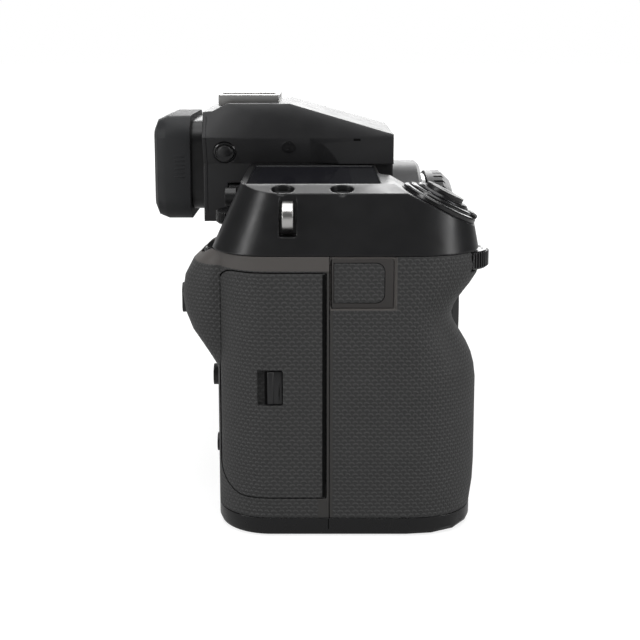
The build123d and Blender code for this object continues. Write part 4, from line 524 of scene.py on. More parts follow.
def dress_solids() -> None:
    """Give every CAD piece its finish and smooth shading between its flat faces."""
    for finish, names in DRESS.items():
        material = finish.material()
        for name in names:
            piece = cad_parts[name]
            for slot in piece.material_slots:
                slot.material = material
            for polygon in piece.data.polygons:
                polygon.use_smooth = True
            weld = piece.modifiers.new("weld", "WELD")
            weld.merge_threshold = MERGE_DISTANCE
            split = piece.modifiers.new("creases", "EDGE_SPLIT")
            split.split_angle = SHARP_ANGLE
            LOG.info("dressed %s in %s", name, finish.name)


class Workshop:
    """Turns a bmesh in millimetres into a finished piece of the camera."""

    @staticmethod
    def finish(mesh: bmesh.types.BMesh, name: str, body: str, slot: str,
               finish: Finish) -> bpy.types.Object:
        """Close a mesh, dress it and let it ride on its body.

        Args:
            mesh: the piece's mesh, in millimetres; it is freed.
            name: the piece's name.
            body: the CAD body that carries it.
            slot: not used.
            finish: its surface.

        Returns:
            The new piece.
        """
        bmesh.ops.remove_doubles(mesh, verts=mesh.verts, dist=SAME_POINT_MM)
        bmesh.ops.recalc_face_normals(mesh, faces=mesh.faces)
        bmesh.ops.scale(mesh, vec=Vector((MM, MM, MM)), verts=mesh.verts)
        data = bpy.data.meshes.new(name)
        mesh.to_mesh(data)
        mesh.free()
        for polygon in data.polygons:
            polygon.use_smooth = True
        data.materials.append(finish.material())
        piece = bpy.data.objects.new(name, data)
        bpy.context.scene.collection.objects.link(piece)
        split = piece.modifiers.new("creases", "EDGE_SPLIT")
        split.split_angle = SHARP_ANGLE
        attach(piece, body)
        LOG.info("made %s: %d faces, on %s", name, len(data.polygons), body)
        return piece

    @staticmethod
    def turned(mesh: bmesh.types.BMesh, profile: Sequence[tuple[float, float]],
               steps: int = 48) -> list[bmesh.types.BMVert]:
        """Spin a profile of radius and height round the Z axis.

        Args:
            mesh: the mesh that takes the shape.
            profile: radius and height of each point, from one end to the other.
            steps: how many steps the full turn has.

        Returns:
            The new points.
        """
        before = set(mesh.verts)
        points = [mesh.verts.new((radius, 0.0, height)) for radius, height in profile]
        edges = [mesh.edges.new(pair) for pair in zip(points, points[1:])]
        bmesh.ops.spin(mesh, geom=points + edges, axis=(0, 0, 1), cent=(0, 0, 0),
                       angle=math.tau, steps=steps, use_merge=True, use_duplicate=False)
        bmesh.ops.remove_doubles(mesh, verts=mesh.verts, dist=SAME_POINT_MM)
        return [point for point in mesh.verts if point not in before]

    @staticmethod
    def slab(mesh: bmesh.types.BMesh, size: Sequence[float], place: Sequence[float],
             rounding: float = 0.0, segments: int = 2) -> list[bmesh.types.BMVert]:
        """Add a block with rounded edges.

        Args:
            mesh: the mesh that takes the block.
            size: its lengths along X, Y and Z.
            place: its centre.
            rounding: its edges' radius.
            segments: the steps of each rounding.

        Returns:
            The block's points.
        """
        before = set(mesh.verts)
        made = bmesh.ops.create_cube(mesh, size=1.0)["verts"]
        bmesh.ops.scale(mesh, vec=Vector(size), verts=made)
        if rounding:
            edges = list({edge for point in made for edge in point.link_edges})
            bmesh.ops.bevel(mesh, geom=edges, offset=rounding, offset_type="OFFSET",
                            affect="EDGES", segments=segments, profile=0.5, material=-1)
        points = [point for point in mesh.verts if point not in before]
        bmesh.ops.translate(mesh, vec=Vector(place), verts=points)
        return points

    @staticmethod
    def plate(name: str, body: str, slot: str, finish: Finish, size: Sequence[float],
              place: Sequence[float], rounding: float = 0.03) -> None:
        """Make a piece that is one small bevelled plate.

        Args:
            name: the piece's name.
            body: the CAD body that carries it.
            slot: the record's material slot.
            finish: its surface.
            size: its lengths along X, Y and Z.
            place: its centre.
            rounding: the width of its bevels.
        """
        mesh = bmesh.new()
        Workshop.slab(mesh, size, place, rounding, 1)
        Workshop.finish(mesh, name, body, slot, finish)

    @staticmethod
    def repeat(mesh: bmesh.types.BMesh, points: list[bmesh.types.BMVert], count: int) -> None:
        """Copy a shape evenly round the Z axis.

        Args:
            mesh: the mesh.
            points: the shape's points.
            count: how many there are with the first.
        """
        edges = list({edge for point in points for edge in point.link_edges})
        faces = list({face for point in points for face in point.link_faces})
        bmesh.ops.spin(mesh, geom=points + edges + faces, axis=(0, 0, 1), cent=(0, 0, 0),
                       angle=math.tau * (count - 1) / count, steps=count - 1,
                       use_duplicate=True)

    @staticmethod
    def lay(mesh: bmesh.types.BMesh, points: Sequence[bmesh.types.BMVert],
            outward: Sequence[float], place: Sequence[float]) -> None:
        """Turn points from the Z axis to face outward, and move them to a place.

        Args:
            mesh: the mesh.
            points: the points to move.
            outward: the way that their Z axis should face.
            place: where their origin goes.
        """
        turn = Vector((0, 0, 1)).rotation_difference(Vector(outward)).to_matrix()
        bmesh.ops.rotate(mesh, cent=(0, 0, 0), matrix=turn, verts=list(points))
        bmesh.ops.translate(mesh, vec=Vector(place), verts=list(points))

    @staticmethod
    def tube(mesh: bmesh.types.BMesh, path: Sequence[Sequence[float]], radius: float,
             closed: bool = False, sides: int = 8) -> None:
        """Run a thin round bead along a path.

        Args:
            mesh: the mesh that takes the bead.
            path: its points, in order.
            radius: its half thickness.
            closed: whether the last point joins the first.
            sides: how many sides its section has.
        """
        spots = [Vector(point) for point in path]
        count = len(spots)
        rings = []
        for index, spot in enumerate(spots):
            ahead = spots[(index + 1) % count] if closed or index < count - 1 else spot
            behind = spots[index - 1] if closed or index else spot
            run = (ahead - behind).normalized()
            made = bmesh.ops.create_circle(mesh, cap_ends=False, segments=sides, radius=radius)
            turn = Vector((0, 0, 1)).rotation_difference(run).to_matrix()
            bmesh.ops.rotate(mesh, cent=(0, 0, 0), matrix=turn, verts=made["verts"])
            bmesh.ops.translate(mesh, vec=spot, verts=made["verts"])
            rings.append(list({edge for point in made["verts"] for edge in point.link_edges}))
        pairs = list(zip(rings, rings[1:]))
        if closed:
            pairs.append((rings[-1], rings[0]))
        for one, other in pairs:
            bmesh.ops.bridge_loops(mesh, edges=one + other)
        if not closed:
            bmesh.ops.holes_fill(mesh, edges=rings[0] + rings[-1], sides=sides)


@dataclass
class Screw:
    """A small machine screw with a domed head."""

    name: str
    body: str
    place: tuple[float, float, float]
    outward: tuple[float, float, float]
    radius: float = 1.5
    proud: float = 0.25
    sunk: float = 0.4
    steps: int = 28
    drive: Drive = Drive.CROSS
    finish: Finish = BLACK_STEEL
    slot: str = "unit_steel"

    def build(self) -> None:
        """Build the head with its drive sunk into it."""
        mesh = bmesh.new()
        profile = [(0.0, -self.sunk), (self.radius, -self.sunk), (self.radius, self.proud * 0.5),
                   (self.radius * 0.85, self.proud), (self.radius * 0.34, self.proud),
                   (0.0, self.proud * 0.2)]
        Workshop.turned(mesh, profile, self.steps)
        if self.drive is Drive.CROSS:
            for long, wide in ((self.radius * 1.2, self.radius * 0.26),
                               (self.radius * 0.26, self.radius * 1.2)):
                Workshop.slab(mesh, (long, wide, 0.06), (0, 0, self.proud), 0.02, 1)
        if self.drive is Drive.SPANNER:
            for side in (-1, 1):
                Workshop.slab(mesh, (self.radius * 0.3, self.radius * 0.3, 0.16),
                              (side * self.radius * 0.55, 0, self.proud), 0.05, 1)
        Workshop.lay(mesh, list(mesh.verts), self.outward, self.place)
        Workshop.finish(mesh, self.name, self.body, self.slot, self.finish)


@dataclass
class FinderTrim:
    """The finder's thin trim: seams, the shoe's springs, the pieces on its flank and the painted
    shade in its slot.
    """

    flank_foot_x: float = 22.0
    flank_foot_z: float = 95.0
    flank_waist_x: float = 26.0
    flank_waist_z: float = 103.4
    roof_x: float = 20.5
    ridge_z: float = 113.7
    flank_way: tuple[float, float, float] = (-1.0, 0.0, -0.43)
    screw_y: float = 12.2
    screw_z: float = 100.6
    screw_radius: float = 2.1
    slot_size: tuple[float, float, float] = (0.12, 2.2, 0.75)
    slot_y: float = -9.0
    slot_z: float = 102.9
    spring_size: tuple[float, float, float] = (2.0, 13.0, 0.25)
    spring_x: float = 7.9
    spring_y: float = 25.5
    spring_z: float = 115.1
    shoe_floor_z: float = 113.2
    pad_y: float = 24.0
    pin_x: float = 3.0
    pin_y: float = 28.0
    seam_ends: tuple[tuple[float, float, float], ...] = (
        (-18.1, 95.6, 104.4), (37.9, 80.0, 109.8))
    seam_radius: float = 0.12
    button_y: float = 32.1
    button_z: float = 98.8
    button_rise: float = 0.2

    def flank_x(self, height: float) -> float:
        """Work out how far out the flank lies.

        Args:
            height: the height over the base.

        Returns:
            The distance from the middle.
        """
        if height > self.flank_waist_z:
            share = (height - self.flank_waist_z) / (self.ridge_z - self.flank_waist_z)
            return self.flank_waist_x + share * (self.roof_x - self.flank_waist_x)
        share = (height - self.flank_foot_z) / (self.flank_waist_z - self.flank_foot_z)
        return self.flank_foot_x + share * (self.flank_waist_x - self.flank_foot_x)

    def build(self) -> None:
        """Build every piece of trim."""
        self.screw_cover()
        self.slot_shade()
        self.shoe_springs()
        self.shoe_contacts()
        self.view_ring()
        self.view_dome()
        self.seam_beads()

    def screw_cover(self) -> None:
        """Set the spanner screw into the near flank."""
        place = (-self.flank_x(self.screw_z) - 0.05, self.screw_y, self.screw_z)
        Screw("finder_screw", "finder", place, self.flank_way, radius=self.screw_radius,
              proud=0.12, drive=Drive.SPANNER, finish=CONTROL_PLASTIC,
              slot="finder_black").build()

    def slot_shade(self) -> None:
        """Lay a near-black sheet in the small slot near the front of the flank: painted shade."""
        place = (-self.flank_waist_x + 0.02, self.slot_y, self.slot_z)
        Workshop.plate("finder_slot_shade", "finder", "finder_black", PAINTED_GAP_SHADE, self.slot_size,
                       place, 0.05)

    def shoe_springs(self) -> None:
        """Lay the two leaf springs in the accessory shoe."""
        mesh = bmesh.new()
        for side in (-1, 1):
            Workshop.slab(mesh, self.spring_size,
                          (side * self.spring_x, self.spring_y, self.spring_z), 0.1, 1)
        Workshop.finish(mesh, "shoe_springs", "finder", "bright_steel", BRIGHT_STEEL)

    def shoe_contacts(self) -> None:
        """Set the middle contact and the two pins in the shoe's floor."""
        mesh = bmesh.new()
        points = Workshop.turned(mesh, [(0.0, 0.0), (1.2, 0.0), (1.1, 0.25), (0.0, 0.3)], 24)
        Workshop.lay(mesh, points, (0, 0, 1), (0, self.pad_y, self.shoe_floor_z))
        for across in (-self.pin_x, self.pin_x):
            points = Workshop.turned(mesh, [(0.0, 0.0), (0.7, 0.0), (0.6, 0.2), (0.0, 0.25)], 20)
            Workshop.lay(mesh, points, (0, 0, 1), (across, self.pin_y, self.shoe_floor_z))
        Workshop.finish(mesh, "shoe_contacts", "finder", "contact_gold", CONTACT_GOLD)

    def view_ring(self) -> None:
        """Set a raised ring round the view button."""
        mesh = bmesh.new()
        profile = [(2.8, -0.2), (3.5, -0.2), (3.5, 0.15), (3.3, 0.3), (2.95, 0.3), (2.8, 0.1),
                   (2.8, -0.2)]
        points = Workshop.turned(mesh, profile, 40)
        Workshop.lay(mesh, points, self.flank_way,
                     (-self.flank_x(self.button_z), self.button_y, self.button_z))
        Workshop.finish(mesh, "view_button_ring", "finder", "control_black", ANODISED)

    def view_dome(self) -> None:
        """Round the view button's face."""
        mesh = bmesh.new()
        dome = [(0.0, 1.0), (1.2, 0.92), (2.0, 0.68), (2.45, 0.35), (2.5, 0.0), (0.0, 0.0)]
        points = Workshop.turned(mesh, dome, 40)
        Workshop.lay(mesh, points, self.flank_way,
                     (-self.flank_x(self.button_z) - self.button_rise, self.button_y,
                      self.button_z))
        Workshop.finish(mesh, "view_button_dome", "view_button", "control_black",
                        CONTROL_PLASTIC)

    def seam_beads(self) -> None:
        """Run the fine edges where the front and rear plates meet the flanks."""
        mesh = bmesh.new()
        for side in (-1, 1):
            for back, lowest, highest in self.seam_ends:
                heights = sorted({lowest, self.flank_foot_z, self.flank_waist_z, highest})
                path = [(side * max(self.flank_x(height), self.flank_foot_x), back, height)
                        for height in heights]
                Workshop.tube(mesh, path, self.seam_radius, sides=6)
        Workshop.finish(mesh, "finder_seams", "finder", "finder_black", BLACK_STEEL)


@dataclass
class DeckTrim:
    """What is set into the deck: the window's display and the rings round the shutter button."""

    display_x: tuple[float, float] = (-70.5, -29.0)
    display_y: tuple[float, float] = (-6.3, 19.9)
    display_thickness: float = 0.04
    window_z: float = 94.8
    slope_place: tuple[float, float, float] = (-68.0, -30.0, 88.585)
    slope_way: tuple[float, float, float] = (0.0, -0.46056, 0.88763)
    lever_profile: tuple[tuple[float, float], ...] = (
        (5.75, 0.0), (10.6, 0.0), (10.95, 0.35), (10.95, 1.1), (10.6, 1.45), (9.9, 1.6),
        (9.7, 1.35), (9.4, 1.35), (9.3, 2.0), (8.9, 2.35), (8.1, 2.5), (7.9, 2.2), (7.6, 2.2),
        (7.5, 3.0), (7.1, 3.35), (6.2, 3.4), (5.75, 3.1), (5.75, 0.0))
    foot_rim: tuple[tuple[float, float], ...] = (
        (10.9, 0.0), (11.15, 0.05), (11.15, 0.3), (10.9, 0.35), (10.9, 0.0))
    top_rim: tuple[tuple[float, float], ...] = (
        (7.55, 2.6), (7.72, 2.7), (7.6, 2.95), (7.45, 2.85), (7.55, 2.6))
    tab_size: tuple[float, float, float] = (5.0, 3.6, 1.5)
    tab_place: tuple[float, float, float] = (0.0, -9.0, 1.9)
    mark_size: tuple[float, float, float] = (0.5, 2.0, 0.05)
    mark_place: tuple[float, float, float] = (0.0, 8.6, 2.45)
    index_size: tuple[float, float, float] = (0.5, 2.6, 0.05)
    index_place: tuple[float, float, float] = (46.0, -10.0, 88.02)

    def build(self) -> None:
        """Build the deck's pieces."""
        self.display()
        self.lever()
        self.lever_rims()
        self.lever_mark()
        self.index_mark()

    def display(self) -> None:
        """Lay the dark display under the window, which leaves a paler border round it."""
        size = (self.display_x[1] - self.display_x[0], self.display_y[1] - self.display_y[0],
                self.display_thickness)
        place = (sum(self.display_x) / 2, sum(self.display_y) / 2, self.window_z + 0.02)
        Workshop.plate("deck_display", "body", "screen_glass", SCREEN_GLASS, size, place, 0.01)

    def on_slope(self, mesh: bmesh.types.BMesh) -> None:
        """Move a mesh from the Z axis onto the shutter slope."""
        Workshop.lay(mesh, list(mesh.verts), self.slope_way, self.slope_place)

    def lever(self) -> None:
        """Turn the power lever: a stack of glossy rings round the shutter button."""
        mesh = bmesh.new()
        Workshop.turned(mesh, self.lever_profile, 96)
        Workshop.slab(mesh, self.tab_size, self.tab_place, 0.7, 3)
        self.on_slope(mesh)
        piece = Workshop.finish(mesh, "power_lever_rings", "power_lever", "control_black",
                                ANODISED)
        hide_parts("power_lever")

    def lever_rims(self) -> None:
        """Set the fine metal line at the lever's foot and the rim at its top."""
        mesh = bmesh.new()
        Workshop.turned(mesh, self.foot_rim, 120)
        Workshop.turned(mesh, self.top_rim, 96)
        self.on_slope(mesh)
        Workshop.finish(mesh, "power_lever_rims", "power_lever", "bright_steel", BLACK_STEEL)

    def lever_mark(self) -> None:
        """Fill the lever's pointer line."""
        mesh = bmesh.new()
        Workshop.slab(mesh, self.mark_size, self.mark_place, 0.02, 1)
        self.on_slope(mesh)
        Workshop.finish(mesh, "lever_mark", "power_lever", "control_black", MARK_PAINT)

    def index_mark(self) -> None:
        """Fill the index line beside the mode dial."""
        Workshop.plate("mode_index", "body", "cover_black", MARK_PAINT, self.index_size,
                       self.index_place, 0.02)


@dataclass
class RibbedDial:
    """A control wheel with upright ribs round its rim and a dished top."""

    node: str
    centre: tuple[float, float]
    radius: float
    ribs: int
    rib_mm: float = 0.45
    rise_mm: float = 0.4
    rim_mm: float = 1.2
    boss_radius: float = 1.6

    def profile(self, core: float, tall: float) -> list[tuple[float, float]]:
        """Draw the wheel's profile.

        Args:
            core: the radius under the ribs.
            tall: the wheel's height.

        Returns:
            Radius and height of each point, from the foot to the boss.
        """
        inner = core - self.rim_mm
        return [(0.0, 0.0), (core - 0.3, 0.0), (core, 0.3), (core, tall - 0.45),
                (core - 0.35, tall - 0.1), (inner, tall - 0.1), (inner - 0.4, tall - 0.35),
                (self.boss_radius, tall - 0.35), (self.boss_radius - 0.3, tall - 0.15),
                (0.0, tall - 0.15)]

    def build(self) -> None:
        """Build the wheel in place of its plain solid."""
        low, high = (Vector(corner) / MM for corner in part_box(self.node))
        tall = high.z - low.z
        core = self.radius - self.rise_mm
        mesh = bmesh.new()
        Workshop.turned(mesh, self.profile(core, tall), 72)
        rib = Workshop.slab(mesh, (2 * self.rise_mm, self.rib_mm, tall - 0.9),
                            (core, 0.0, tall / 2), 0.14, 1)
        Workshop.repeat(mesh, rib, self.ribs)
        bmesh.ops.translate(mesh, vec=Vector((*self.centre, low.z)), verts=list(mesh.verts))
        piece = Workshop.finish(mesh, f"{self.node}_wheel", self.node, "control_black",
                                ANODISED)
        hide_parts(self.node)


@dataclass
class DoorTrim:
    """The card door's sliding catch, a bar that stands in its recess behind a slit darkened with
    painted shade.
    """

    bar_y: tuple[float, float] = (14.9, 16.6)
    bar_depth: float = 0.9
    bar_edge: float = 0.4
    slit_y: tuple[float, float] = (16.7, 17.3)
    groove_heights: tuple[float, ...] = (-2.4, -1.2, 0.0)
    groove_size: tuple[float, float, float] = (0.3, 0.25, 2.6)
    groove_y: float = 13.4
    gap_size: tuple[float, float, float] = (0.1, 0.85, 61.4)
    gap_place: tuple[float, float, float] = (-85.95, 1.45, 42.0)
    seam_size: tuple[float, float, float] = (0.1, 0.3, 3.0)
    seam_place: tuple[float, float, float] = (-85.97, 0.2, 3.6)

    def build(self) -> None:
        """Build the door's pieces."""
        self.catch()
        self.gap()
        self.base_seam_shade()

    def catch(self) -> None:
        """Build the catch in place of its plain solid, and the near-black sheet of painted shade
        in the slit beside its bar.
        """
        low, high = (Vector(corner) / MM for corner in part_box("card_latch"))
        mesh = bmesh.new()
        plate = Vector((high.x - low.x - 0.4, high.y - low.y, high.z - low.z))
        centre = (low + high) / 2 + Vector((0.2, 0.0, 0.0))
        Workshop.slab(mesh, plate, centre, 0.2, 2)
        Workshop.slab(mesh, (self.bar_depth, self.bar_y[1] - self.bar_y[0], plate.z - 0.2),
                      (low.x + self.bar_depth / 2, sum(self.bar_y) / 2, centre.z),
                      self.bar_edge, 3)
        for height in self.groove_heights:
            Workshop.slab(mesh, self.groove_size,
                          (low.x + 0.35, self.groove_y, centre.z + height), 0.1, 1)
        piece = Workshop.finish(mesh, "card_catch", "card_latch", "control_black",
                                CONTROL_PLASTIC)
        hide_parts("card_latch")
        # Painted shade: a near-black sheet in the slit beside the bar.
        Workshop.plate("card_catch_slit_shade", "card_latch", "control_black", PAINTED_GAP_SHADE,
                       (0.1, self.slit_y[1] - self.slit_y[0], plate.z - 0.2),
                       (low.x + 0.36, sum(self.slit_y) / 2, centre.z))

    def gap(self) -> None:
        """Lay a near-black sheet along the door's front edge, between its hinge knuckles too:
        painted shade in the gap.
        """
        Workshop.plate("door_gap_shade", "body", "door_leatherette", PAINTED_GAP_SHADE, self.gap_size,
                       self.gap_place)

    def base_seam_shade(self) -> None:
        """Carry the casing's upright seam on down across the base as a near-black sheet: painted
        shade in the seam.
        """
        Workshop.plate("base_seam_shade", "body", "base_black", PAINTED_GAP_SHADE, self.seam_size,
                       self.seam_place)


@dataclass
class SocketFlap:
    """The remote socket's flap: a leatherette pad inside a smooth moulded rim."""

    plate_size: tuple[float, float, float] = (1.2, 16.3, 13.2)
    plate_y: float = -8.7
    plate_z: float = 70.25
    pad_y: tuple[float, float] = (-14.4, -1.2)
    pad_z: tuple[float, float] = (65.2, 75.7)
    corner: float = 2.2
    corner_steps: int = 6
    pad_rise: float = 0.1
    pad_thickness: float = 0.3
    groove_radius: float = 0.3

    def outline(self) -> list[Vector]:
        """Draw the pad's outline with its front corners rounded.

        Returns:
            The points in order, in the plane X = 0.
        """
        points = [Vector((0.0, self.pad_y[1], self.pad_z[0])),
                  Vector((0.0, self.pad_y[1], self.pad_z[1]))]
        for middle_z, start in ((self.pad_z[1] - self.corner, 0.0),
                                (self.pad_z[0] + self.corner, math.pi / 2)):
            for step in range(self.corner_steps + 1):
                angle = start + math.pi / 2 * step / self.corner_steps
                points.append(Vector((0.0, self.pad_y[0] + self.corner
                                      - self.corner * math.sin(angle),
                                      middle_z + self.corner * math.cos(angle))))
        return points

    def build(self) -> None:
        """Build the flap in place of its plain solid."""
        low, _ = (Vector(corner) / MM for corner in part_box("remote_cover"))
        mesh = bmesh.new()
        Workshop.slab(mesh, self.plate_size,
                      (low.x + self.plate_size[0] / 2, self.plate_y, self.plate_z), 0.25, 2)
        piece = Workshop.finish(mesh, "remote_flap", "remote_cover", "flap_rubber", FLAP_RUBBER)
        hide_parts("remote_cover")
        self.pad(low.x - self.pad_rise)
        self.groove(low.x - self.pad_rise + self.groove_radius)

    def pad(self, face_x: float) -> None:
        """Lay the leatherette pad.

        Args:
            face_x: where its outer face lies.
        """
        mesh = bmesh.new()
        corners = [mesh.verts.new(point + Vector((face_x, 0.0, 0.0))) for point in self.outline()]
        made = bmesh.ops.extrude_face_region(mesh, geom=[mesh.faces.new(corners)],
                                             use_keep_orig=True)["geom"]
        bmesh.ops.translate(mesh, vec=Vector((self.pad_thickness, 0.0, 0.0)),
                            verts=[one for one in made if isinstance(one, bmesh.types.BMVert)])
        Workshop.finish(mesh, "remote_flap_pad", "remote_cover", "leatherette",
                        FRONT_LEATHERETTE)

    def groove(self, middle_x: float) -> None:
        """Run a near-black bead round the pad: painted shade for the groove there.

        Args:
            middle_x: where the line's middle lies.
        """
        mesh = bmesh.new()
        Workshop.tube(mesh, [point + Vector((middle_x, 0.0, 0.0)) for point in self.outline()],
                      self.groove_radius, closed=True, sides=8)
        Workshop.finish(mesh, "remote_flap_groove_shade", "remote_cover", "flap_rubber", PAINTED_GAP_SHADE)


@dataclass
class EyecupRibs:
    """The small ribbed patch on each flank of the eyecup, for pulling it off."""

    place_y: tuple[float, float] = (44.9, 48.3)
    lowest_z: float = 90.8
    step_mm: float = 1.3
    count: int = 6
    rise: float = 0.3
    thickness: float = 0.6
    half_width: float = 22.0

    def build(self) -> None:
        """Build the ribs on both flanks."""
        mesh = bmesh.new()
        for side in (-1, 1):
            for number in range(self.count):
                Workshop.slab(mesh, (self.rise, self.place_y[1] - self.place_y[0],
                                     self.thickness),
                              (side * (self.half_width - 0.05), sum(self.place_y) / 2,
                               self.lowest_z + number * self.step_mm), 0.12, 2)
        Workshop.finish(mesh, "eyecup_ribs", "finder", "eyecup_rubber", EYECUP_RUBBER)


@dataclass
class RearTrim:
    """What the back carries: the eye sensor's window and the dots on the focus stick."""

    sensor_size: tuple[float, float, float] = (5.0, 0.3, 2.2)
    sensor_place: tuple[float, float, float] = (0.0, 43.25, 106.2)
    dot_circle: float = 1.3
    dot_count: int = 4

    def build(self) -> None:
        """Build the pieces."""
        mesh = bmesh.new()
        Workshop.slab(mesh, self.sensor_size, self.sensor_place, 0.12, 2)
        Workshop.finish(mesh, "eye_sensor", "finder", "finder_glass", SCREEN_GLASS)
        self.stick_dots()

    def stick_dots(self) -> None:
        """Set the small grip dots on the focus stick's face."""
        mesh = bmesh.new()
        low, high = (Vector(corner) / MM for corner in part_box("focus_stick"))
        centre = (low + high) / 2
        for number in range(self.dot_count):
            angle = math.tau * number / self.dot_count + math.pi / 4
            points = Workshop.turned(mesh, [(0.0, 0.25), (0.3, 0.2), (0.4, 0.0), (0.0, 0.0)], 12)
            Workshop.lay(mesh, points, (0, 1, 0),
                         (centre.x + self.dot_circle * math.cos(angle), high.y - 0.05,
                          centre.z + self.dot_circle * math.sin(angle)))
        Workshop.finish(mesh, "focus_stick_dots", "focus_stick", "control_black",
                        CONTROL_PLASTIC)


@dataclass
class ModeMarks:
    """Generic marks round the top of the mode dial: a short line at each of its stops."""

    centre: tuple[float, float] = (46.0, 4.0)
    circle: float = 8.4
    mark_size: tuple[float, float, float] = (1.8, 0.35, 0.05)
    stops: int = 8

    def build(self) -> None:
        """Build the marks on the dial's top."""
        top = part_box("mode_dial")[1][2] / MM
        mesh = bmesh.new()
        mark = Workshop.slab(mesh, self.mark_size, (self.circle, 0.0, 0.0), 0.02, 1)
        Workshop.repeat(mesh, mark, self.stops)
        bmesh.ops.translate(mesh, vec=Vector((*self.centre, top + 0.01)),
                            verts=list(mesh.verts))
        Workshop.finish(mesh, "mode_marks", "mode_dial", "control_black", MARK_PAINT)


@dataclass
class BaseTrim:
    """The screws under the base and round the mount."""

    screw_places: tuple[tuple[float, float], ...] = (
        (-40.0, 24.0), (60.0, 22.0), (60.0, -8.0), (22.0, 24.0), (30.0, -8.0), (-30.0, -8.0))
    screw_z: float = 0.3
    mount_screw_circle: float = 35.2
    mount_screw_count: int = 4
    mount_screw_turn: float = 30.0
    flange_y: float = -32.0
    axis_z: float = 51.25

    def build(self) -> None:
        """Build the screws."""
        for number, (across, back) in enumerate(self.screw_places, start=1):
            Screw(f"base_screw_{number}", "body", (across, back, self.screw_z), (0, 0, -1),
                  proud=0.2).build()
        for number in range(self.mount_screw_count):
            angle = math.radians(self.mount_screw_turn + number * 360 / self.mount_screw_count)
            place = (self.mount_screw_circle * math.cos(angle), self.flange_y,
                     self.axis_z + self.mount_screw_circle * math.sin(angle))
            Screw(f"mount_screw_{number + 1}", "body", place, (0, -1, 0), proud=0.05,
                  finish=SHEET_STEEL).build()


@dataclass(frozen=True)
class SoftBox:
    """A soft box: where it hangs and its width and height, in metres, and its watts."""

    name: str
    place: tuple[float, float, float]
    size: tuple[float, float]
    watts: float


SOFT_BOXES = (
    SoftBox("top_box", (0.1, 0.0, 0.9), (0.9, 0.9), 5.0),
    SoftBox("left_box", (-0.42, 0.62, 0.3), (0.14, 0.75), 3.0),
    SoftBox("right_box", (-0.42, -0.62, 0.3), (0.14, 0.75), 3.0),
    SoftBox("front_box", (-0.75, 0.0, 1.5), (0.8, 0.5), 6.0),
    SoftBox("back_box", (1.15, -0.05, 0.5), (1.5, 0.5), 8.0),
)


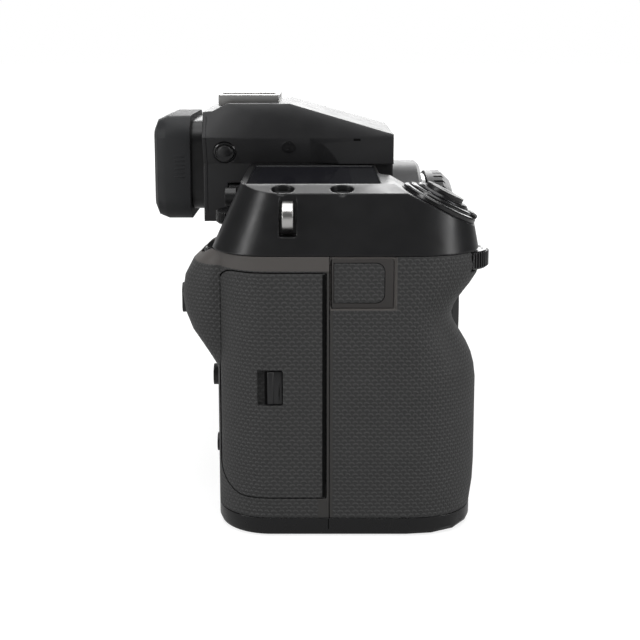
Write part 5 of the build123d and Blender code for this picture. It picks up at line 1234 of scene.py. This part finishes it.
@dataclass
class Studio:
    """The camera at the photo's angle, the floor, the backdrop and the lights."""

    target_mm: tuple[float, float, float] = (-20.0, 2.4, 58.0)
    camera_mm: tuple[float, float, float] = (-379.02, 2.72, 133.31)
    focal_px: float = 1142.13
    centre_px: tuple[float, float] = (319.17, 231.2)
    picture_px: int = 640
    sensor_mm: float = 36.0
    pitch_deg: float = 9.5
    clip_start: float = 0.01
    floor_half: float = 6.0
    floor_paper: float = 0.3
    floor_glow: float = 0.78
    white: float = 1.0
    glow_from: float = 0.15
    glow_to: float = 1.2
    floor_mirrored: float = 0.3
    world_light: float = 0.3
    world_mirrored: tuple[float, float] = (0.1, 0.9)
    behind_from: float = 0.8
    behind_to: float = 0.92

    def build(self) -> None:
        """Set up the camera, the lights and the backdrop."""
        self.camera()
        self.lights()
        self.floor()
        self.world()

    def camera(self) -> None:
        """Set up the camera, level across and pitched down a little, with a small shift."""
        data = bpy.data.cameras.new("camera")
        data.sensor_width = self.sensor_mm
        data.lens = self.focal_px / self.picture_px * self.sensor_mm
        half = self.picture_px / 2
        data.shift_x = (half - self.centre_px[0]) / self.picture_px
        data.shift_y = (self.centre_px[1] - half) / self.picture_px
        data.clip_start = self.clip_start
        piece = bpy.data.objects.new("camera", data)
        bpy.context.scene.collection.objects.link(piece)
        piece.location = Vector(self.camera_mm) * MM
        piece.rotation_euler = (math.pi / 2 - math.radians(self.pitch_deg), 0.0, -math.pi / 2)
        bpy.context.scene.camera = piece
        LOG.info("set up the camera at %s mm", self.camera_mm)

    def lights(self) -> None:
        """Hang the soft boxes: one above, one each side, one in front and one behind."""
        for box in SOFT_BOXES:
            data = bpy.data.lights.new(box.name, "AREA")
            data.shape = "RECTANGLE"
            data.size, data.size_y = box.size
            data.energy = box.watts
            piece = bpy.data.objects.new(box.name, data)
            bpy.context.scene.collection.objects.link(piece)
            piece.location = box.place
            aim = Vector(self.target_mm) * MM - Vector(box.place)
            piece.rotation_euler = aim.to_track_quat("-Z", "Y").to_euler()
            LOG.info("hung %s", box.name)

    def floor(self) -> None:
        """Lay the pale floor sheet."""
        mesh = bmesh.new()
        bmesh.ops.create_grid(mesh, x_segments=1, y_segments=1, size=self.floor_half)
        data = bpy.data.meshes.new("floor")
        mesh.to_mesh(data)
        mesh.free()
        floor = bpy.data.objects.new("floor", data)
        bpy.context.scene.collection.objects.link(floor)
        data.materials.append(self.paper())
        LOG.info("laid the floor")

    def paper(self) -> bpy.types.Material:
        """Return matt paper that looks white and keeps a soft shadow.

        Returns:
            The paper's material: the camera sees it glow, and light meets plain grey paper.
        """
        made = bpy.data.materials.new("floor_paper")
        made.use_nodes = True
        tree = made.node_tree
        tree.nodes.clear()
        grey = (self.floor_paper, self.floor_paper, self.floor_paper, 1.0)
        matt = add_node(tree, "ShaderNodeBsdfDiffuse", {"Color": grey})
        place = add_node(tree, "ShaderNodeTexCoord").outputs["Object"]
        away = add_node(tree, "ShaderNodeVectorMath", {0: place},
                        operation="LENGTH").outputs["Value"]
        lift = add_node(tree, "ShaderNodeMapRange", {
            "Value": away, "From Min": self.glow_from, "From Max": self.glow_to,
            "To Min": self.floor_glow, "To Max": self.white}).outputs["Result"]
        glow = add_node(tree, "ShaderNodeEmission", {"Color": PURE_WHITE, "Strength": lift})
        path = add_node(tree, "ShaderNodeLightPath").outputs
        lit = add_node(tree, "ShaderNodeAddShader", {0: matt.outputs[0], 1: glow.outputs[0]})
        direct = reckon(tree, "MAXIMUM", path["Is Camera Ray"], path["Is Transmission Ray"])
        mirrored = reckon(tree, "MULTIPLY", path["Is Glossy Ray"], self.floor_mirrored)
        shown = reckon(tree, "MAXIMUM", direct, mirrored)
        mixed = add_node(tree, "ShaderNodeMixShader", {
            0: shown, 1: matt.outputs[0], 2: lit.outputs[0]})
        add_node(tree, "ShaderNodeOutputMaterial", {"Surface": mixed.outputs[0]})
        return made

    def world(self) -> None:
        """Make the world white where it is seen, and brightest behind the camera body."""
        world = bpy.data.worlds.new("studio")
        world.use_nodes = True
        tree = world.node_tree
        tree.nodes.clear()
        path = add_node(tree, "ShaderNodeLightPath").outputs
        way = add_node(tree, "ShaderNodeTexCoord").outputs["Generated"]
        ahead = add_node(tree, "ShaderNodeSeparateXYZ", {0: way}).outputs[0]
        behind_it = add_node(tree, "ShaderNodeMapRange", {
            "Value": ahead, "From Min": self.behind_from,
            "From Max": self.behind_to}).outputs["Result"]
        mirrored = add_node(tree, "ShaderNodeMapRange", {
            "Value": behind_it, "To Min": self.world_mirrored[0],
            "To Max": self.world_mirrored[1]}).outputs["Result"]
        direct = reckon(tree, "MAXIMUM", path["Is Camera Ray"], path["Is Transmission Ray"])
        plain = add_node(tree, "ShaderNodeMapRange", {
            "Value": direct, "To Min": self.world_light, "To Max": self.white}).outputs["Result"]
        lit = reckon(tree, "SUBTRACT", mirrored, plain)
        strength = reckon(tree, "MULTIPLY_ADD", path["Is Glossy Ray"], lit, plain)
        light = add_node(tree, "ShaderNodeBackground", {
            "Color": PURE_WHITE, "Strength": strength})
        add_node(tree, "ShaderNodeOutputWorld", {"Surface": light.outputs[0]})
        bpy.context.scene.world = world
        LOG.info("lit the world")


DIALS = (
    RibbedDial("front_dial", (-70.0, -34.9), 8.95, 56),
    RibbedDial("rear_dial", (-66.0, 25.7), 9.0, 56),
    RibbedDial("focus_dial", (-36.0, 26.4), 7.7, 48),
)


def main() -> None:
    """Dress the camera, add its trim and set up the studio."""
    logging.basicConfig(level=logging.INFO)
    bpy.context.scene.view_settings.view_transform = "Standard"
    dress_solids()
    for assembly in (FinderTrim(), DeckTrim(), DoorTrim(), SocketFlap(), EyecupRibs(),
                     RearTrim(), ModeMarks(), BaseTrim(), *DIALS, Studio()):
        assembly.build()


if __name__ == "__main__":
    main()
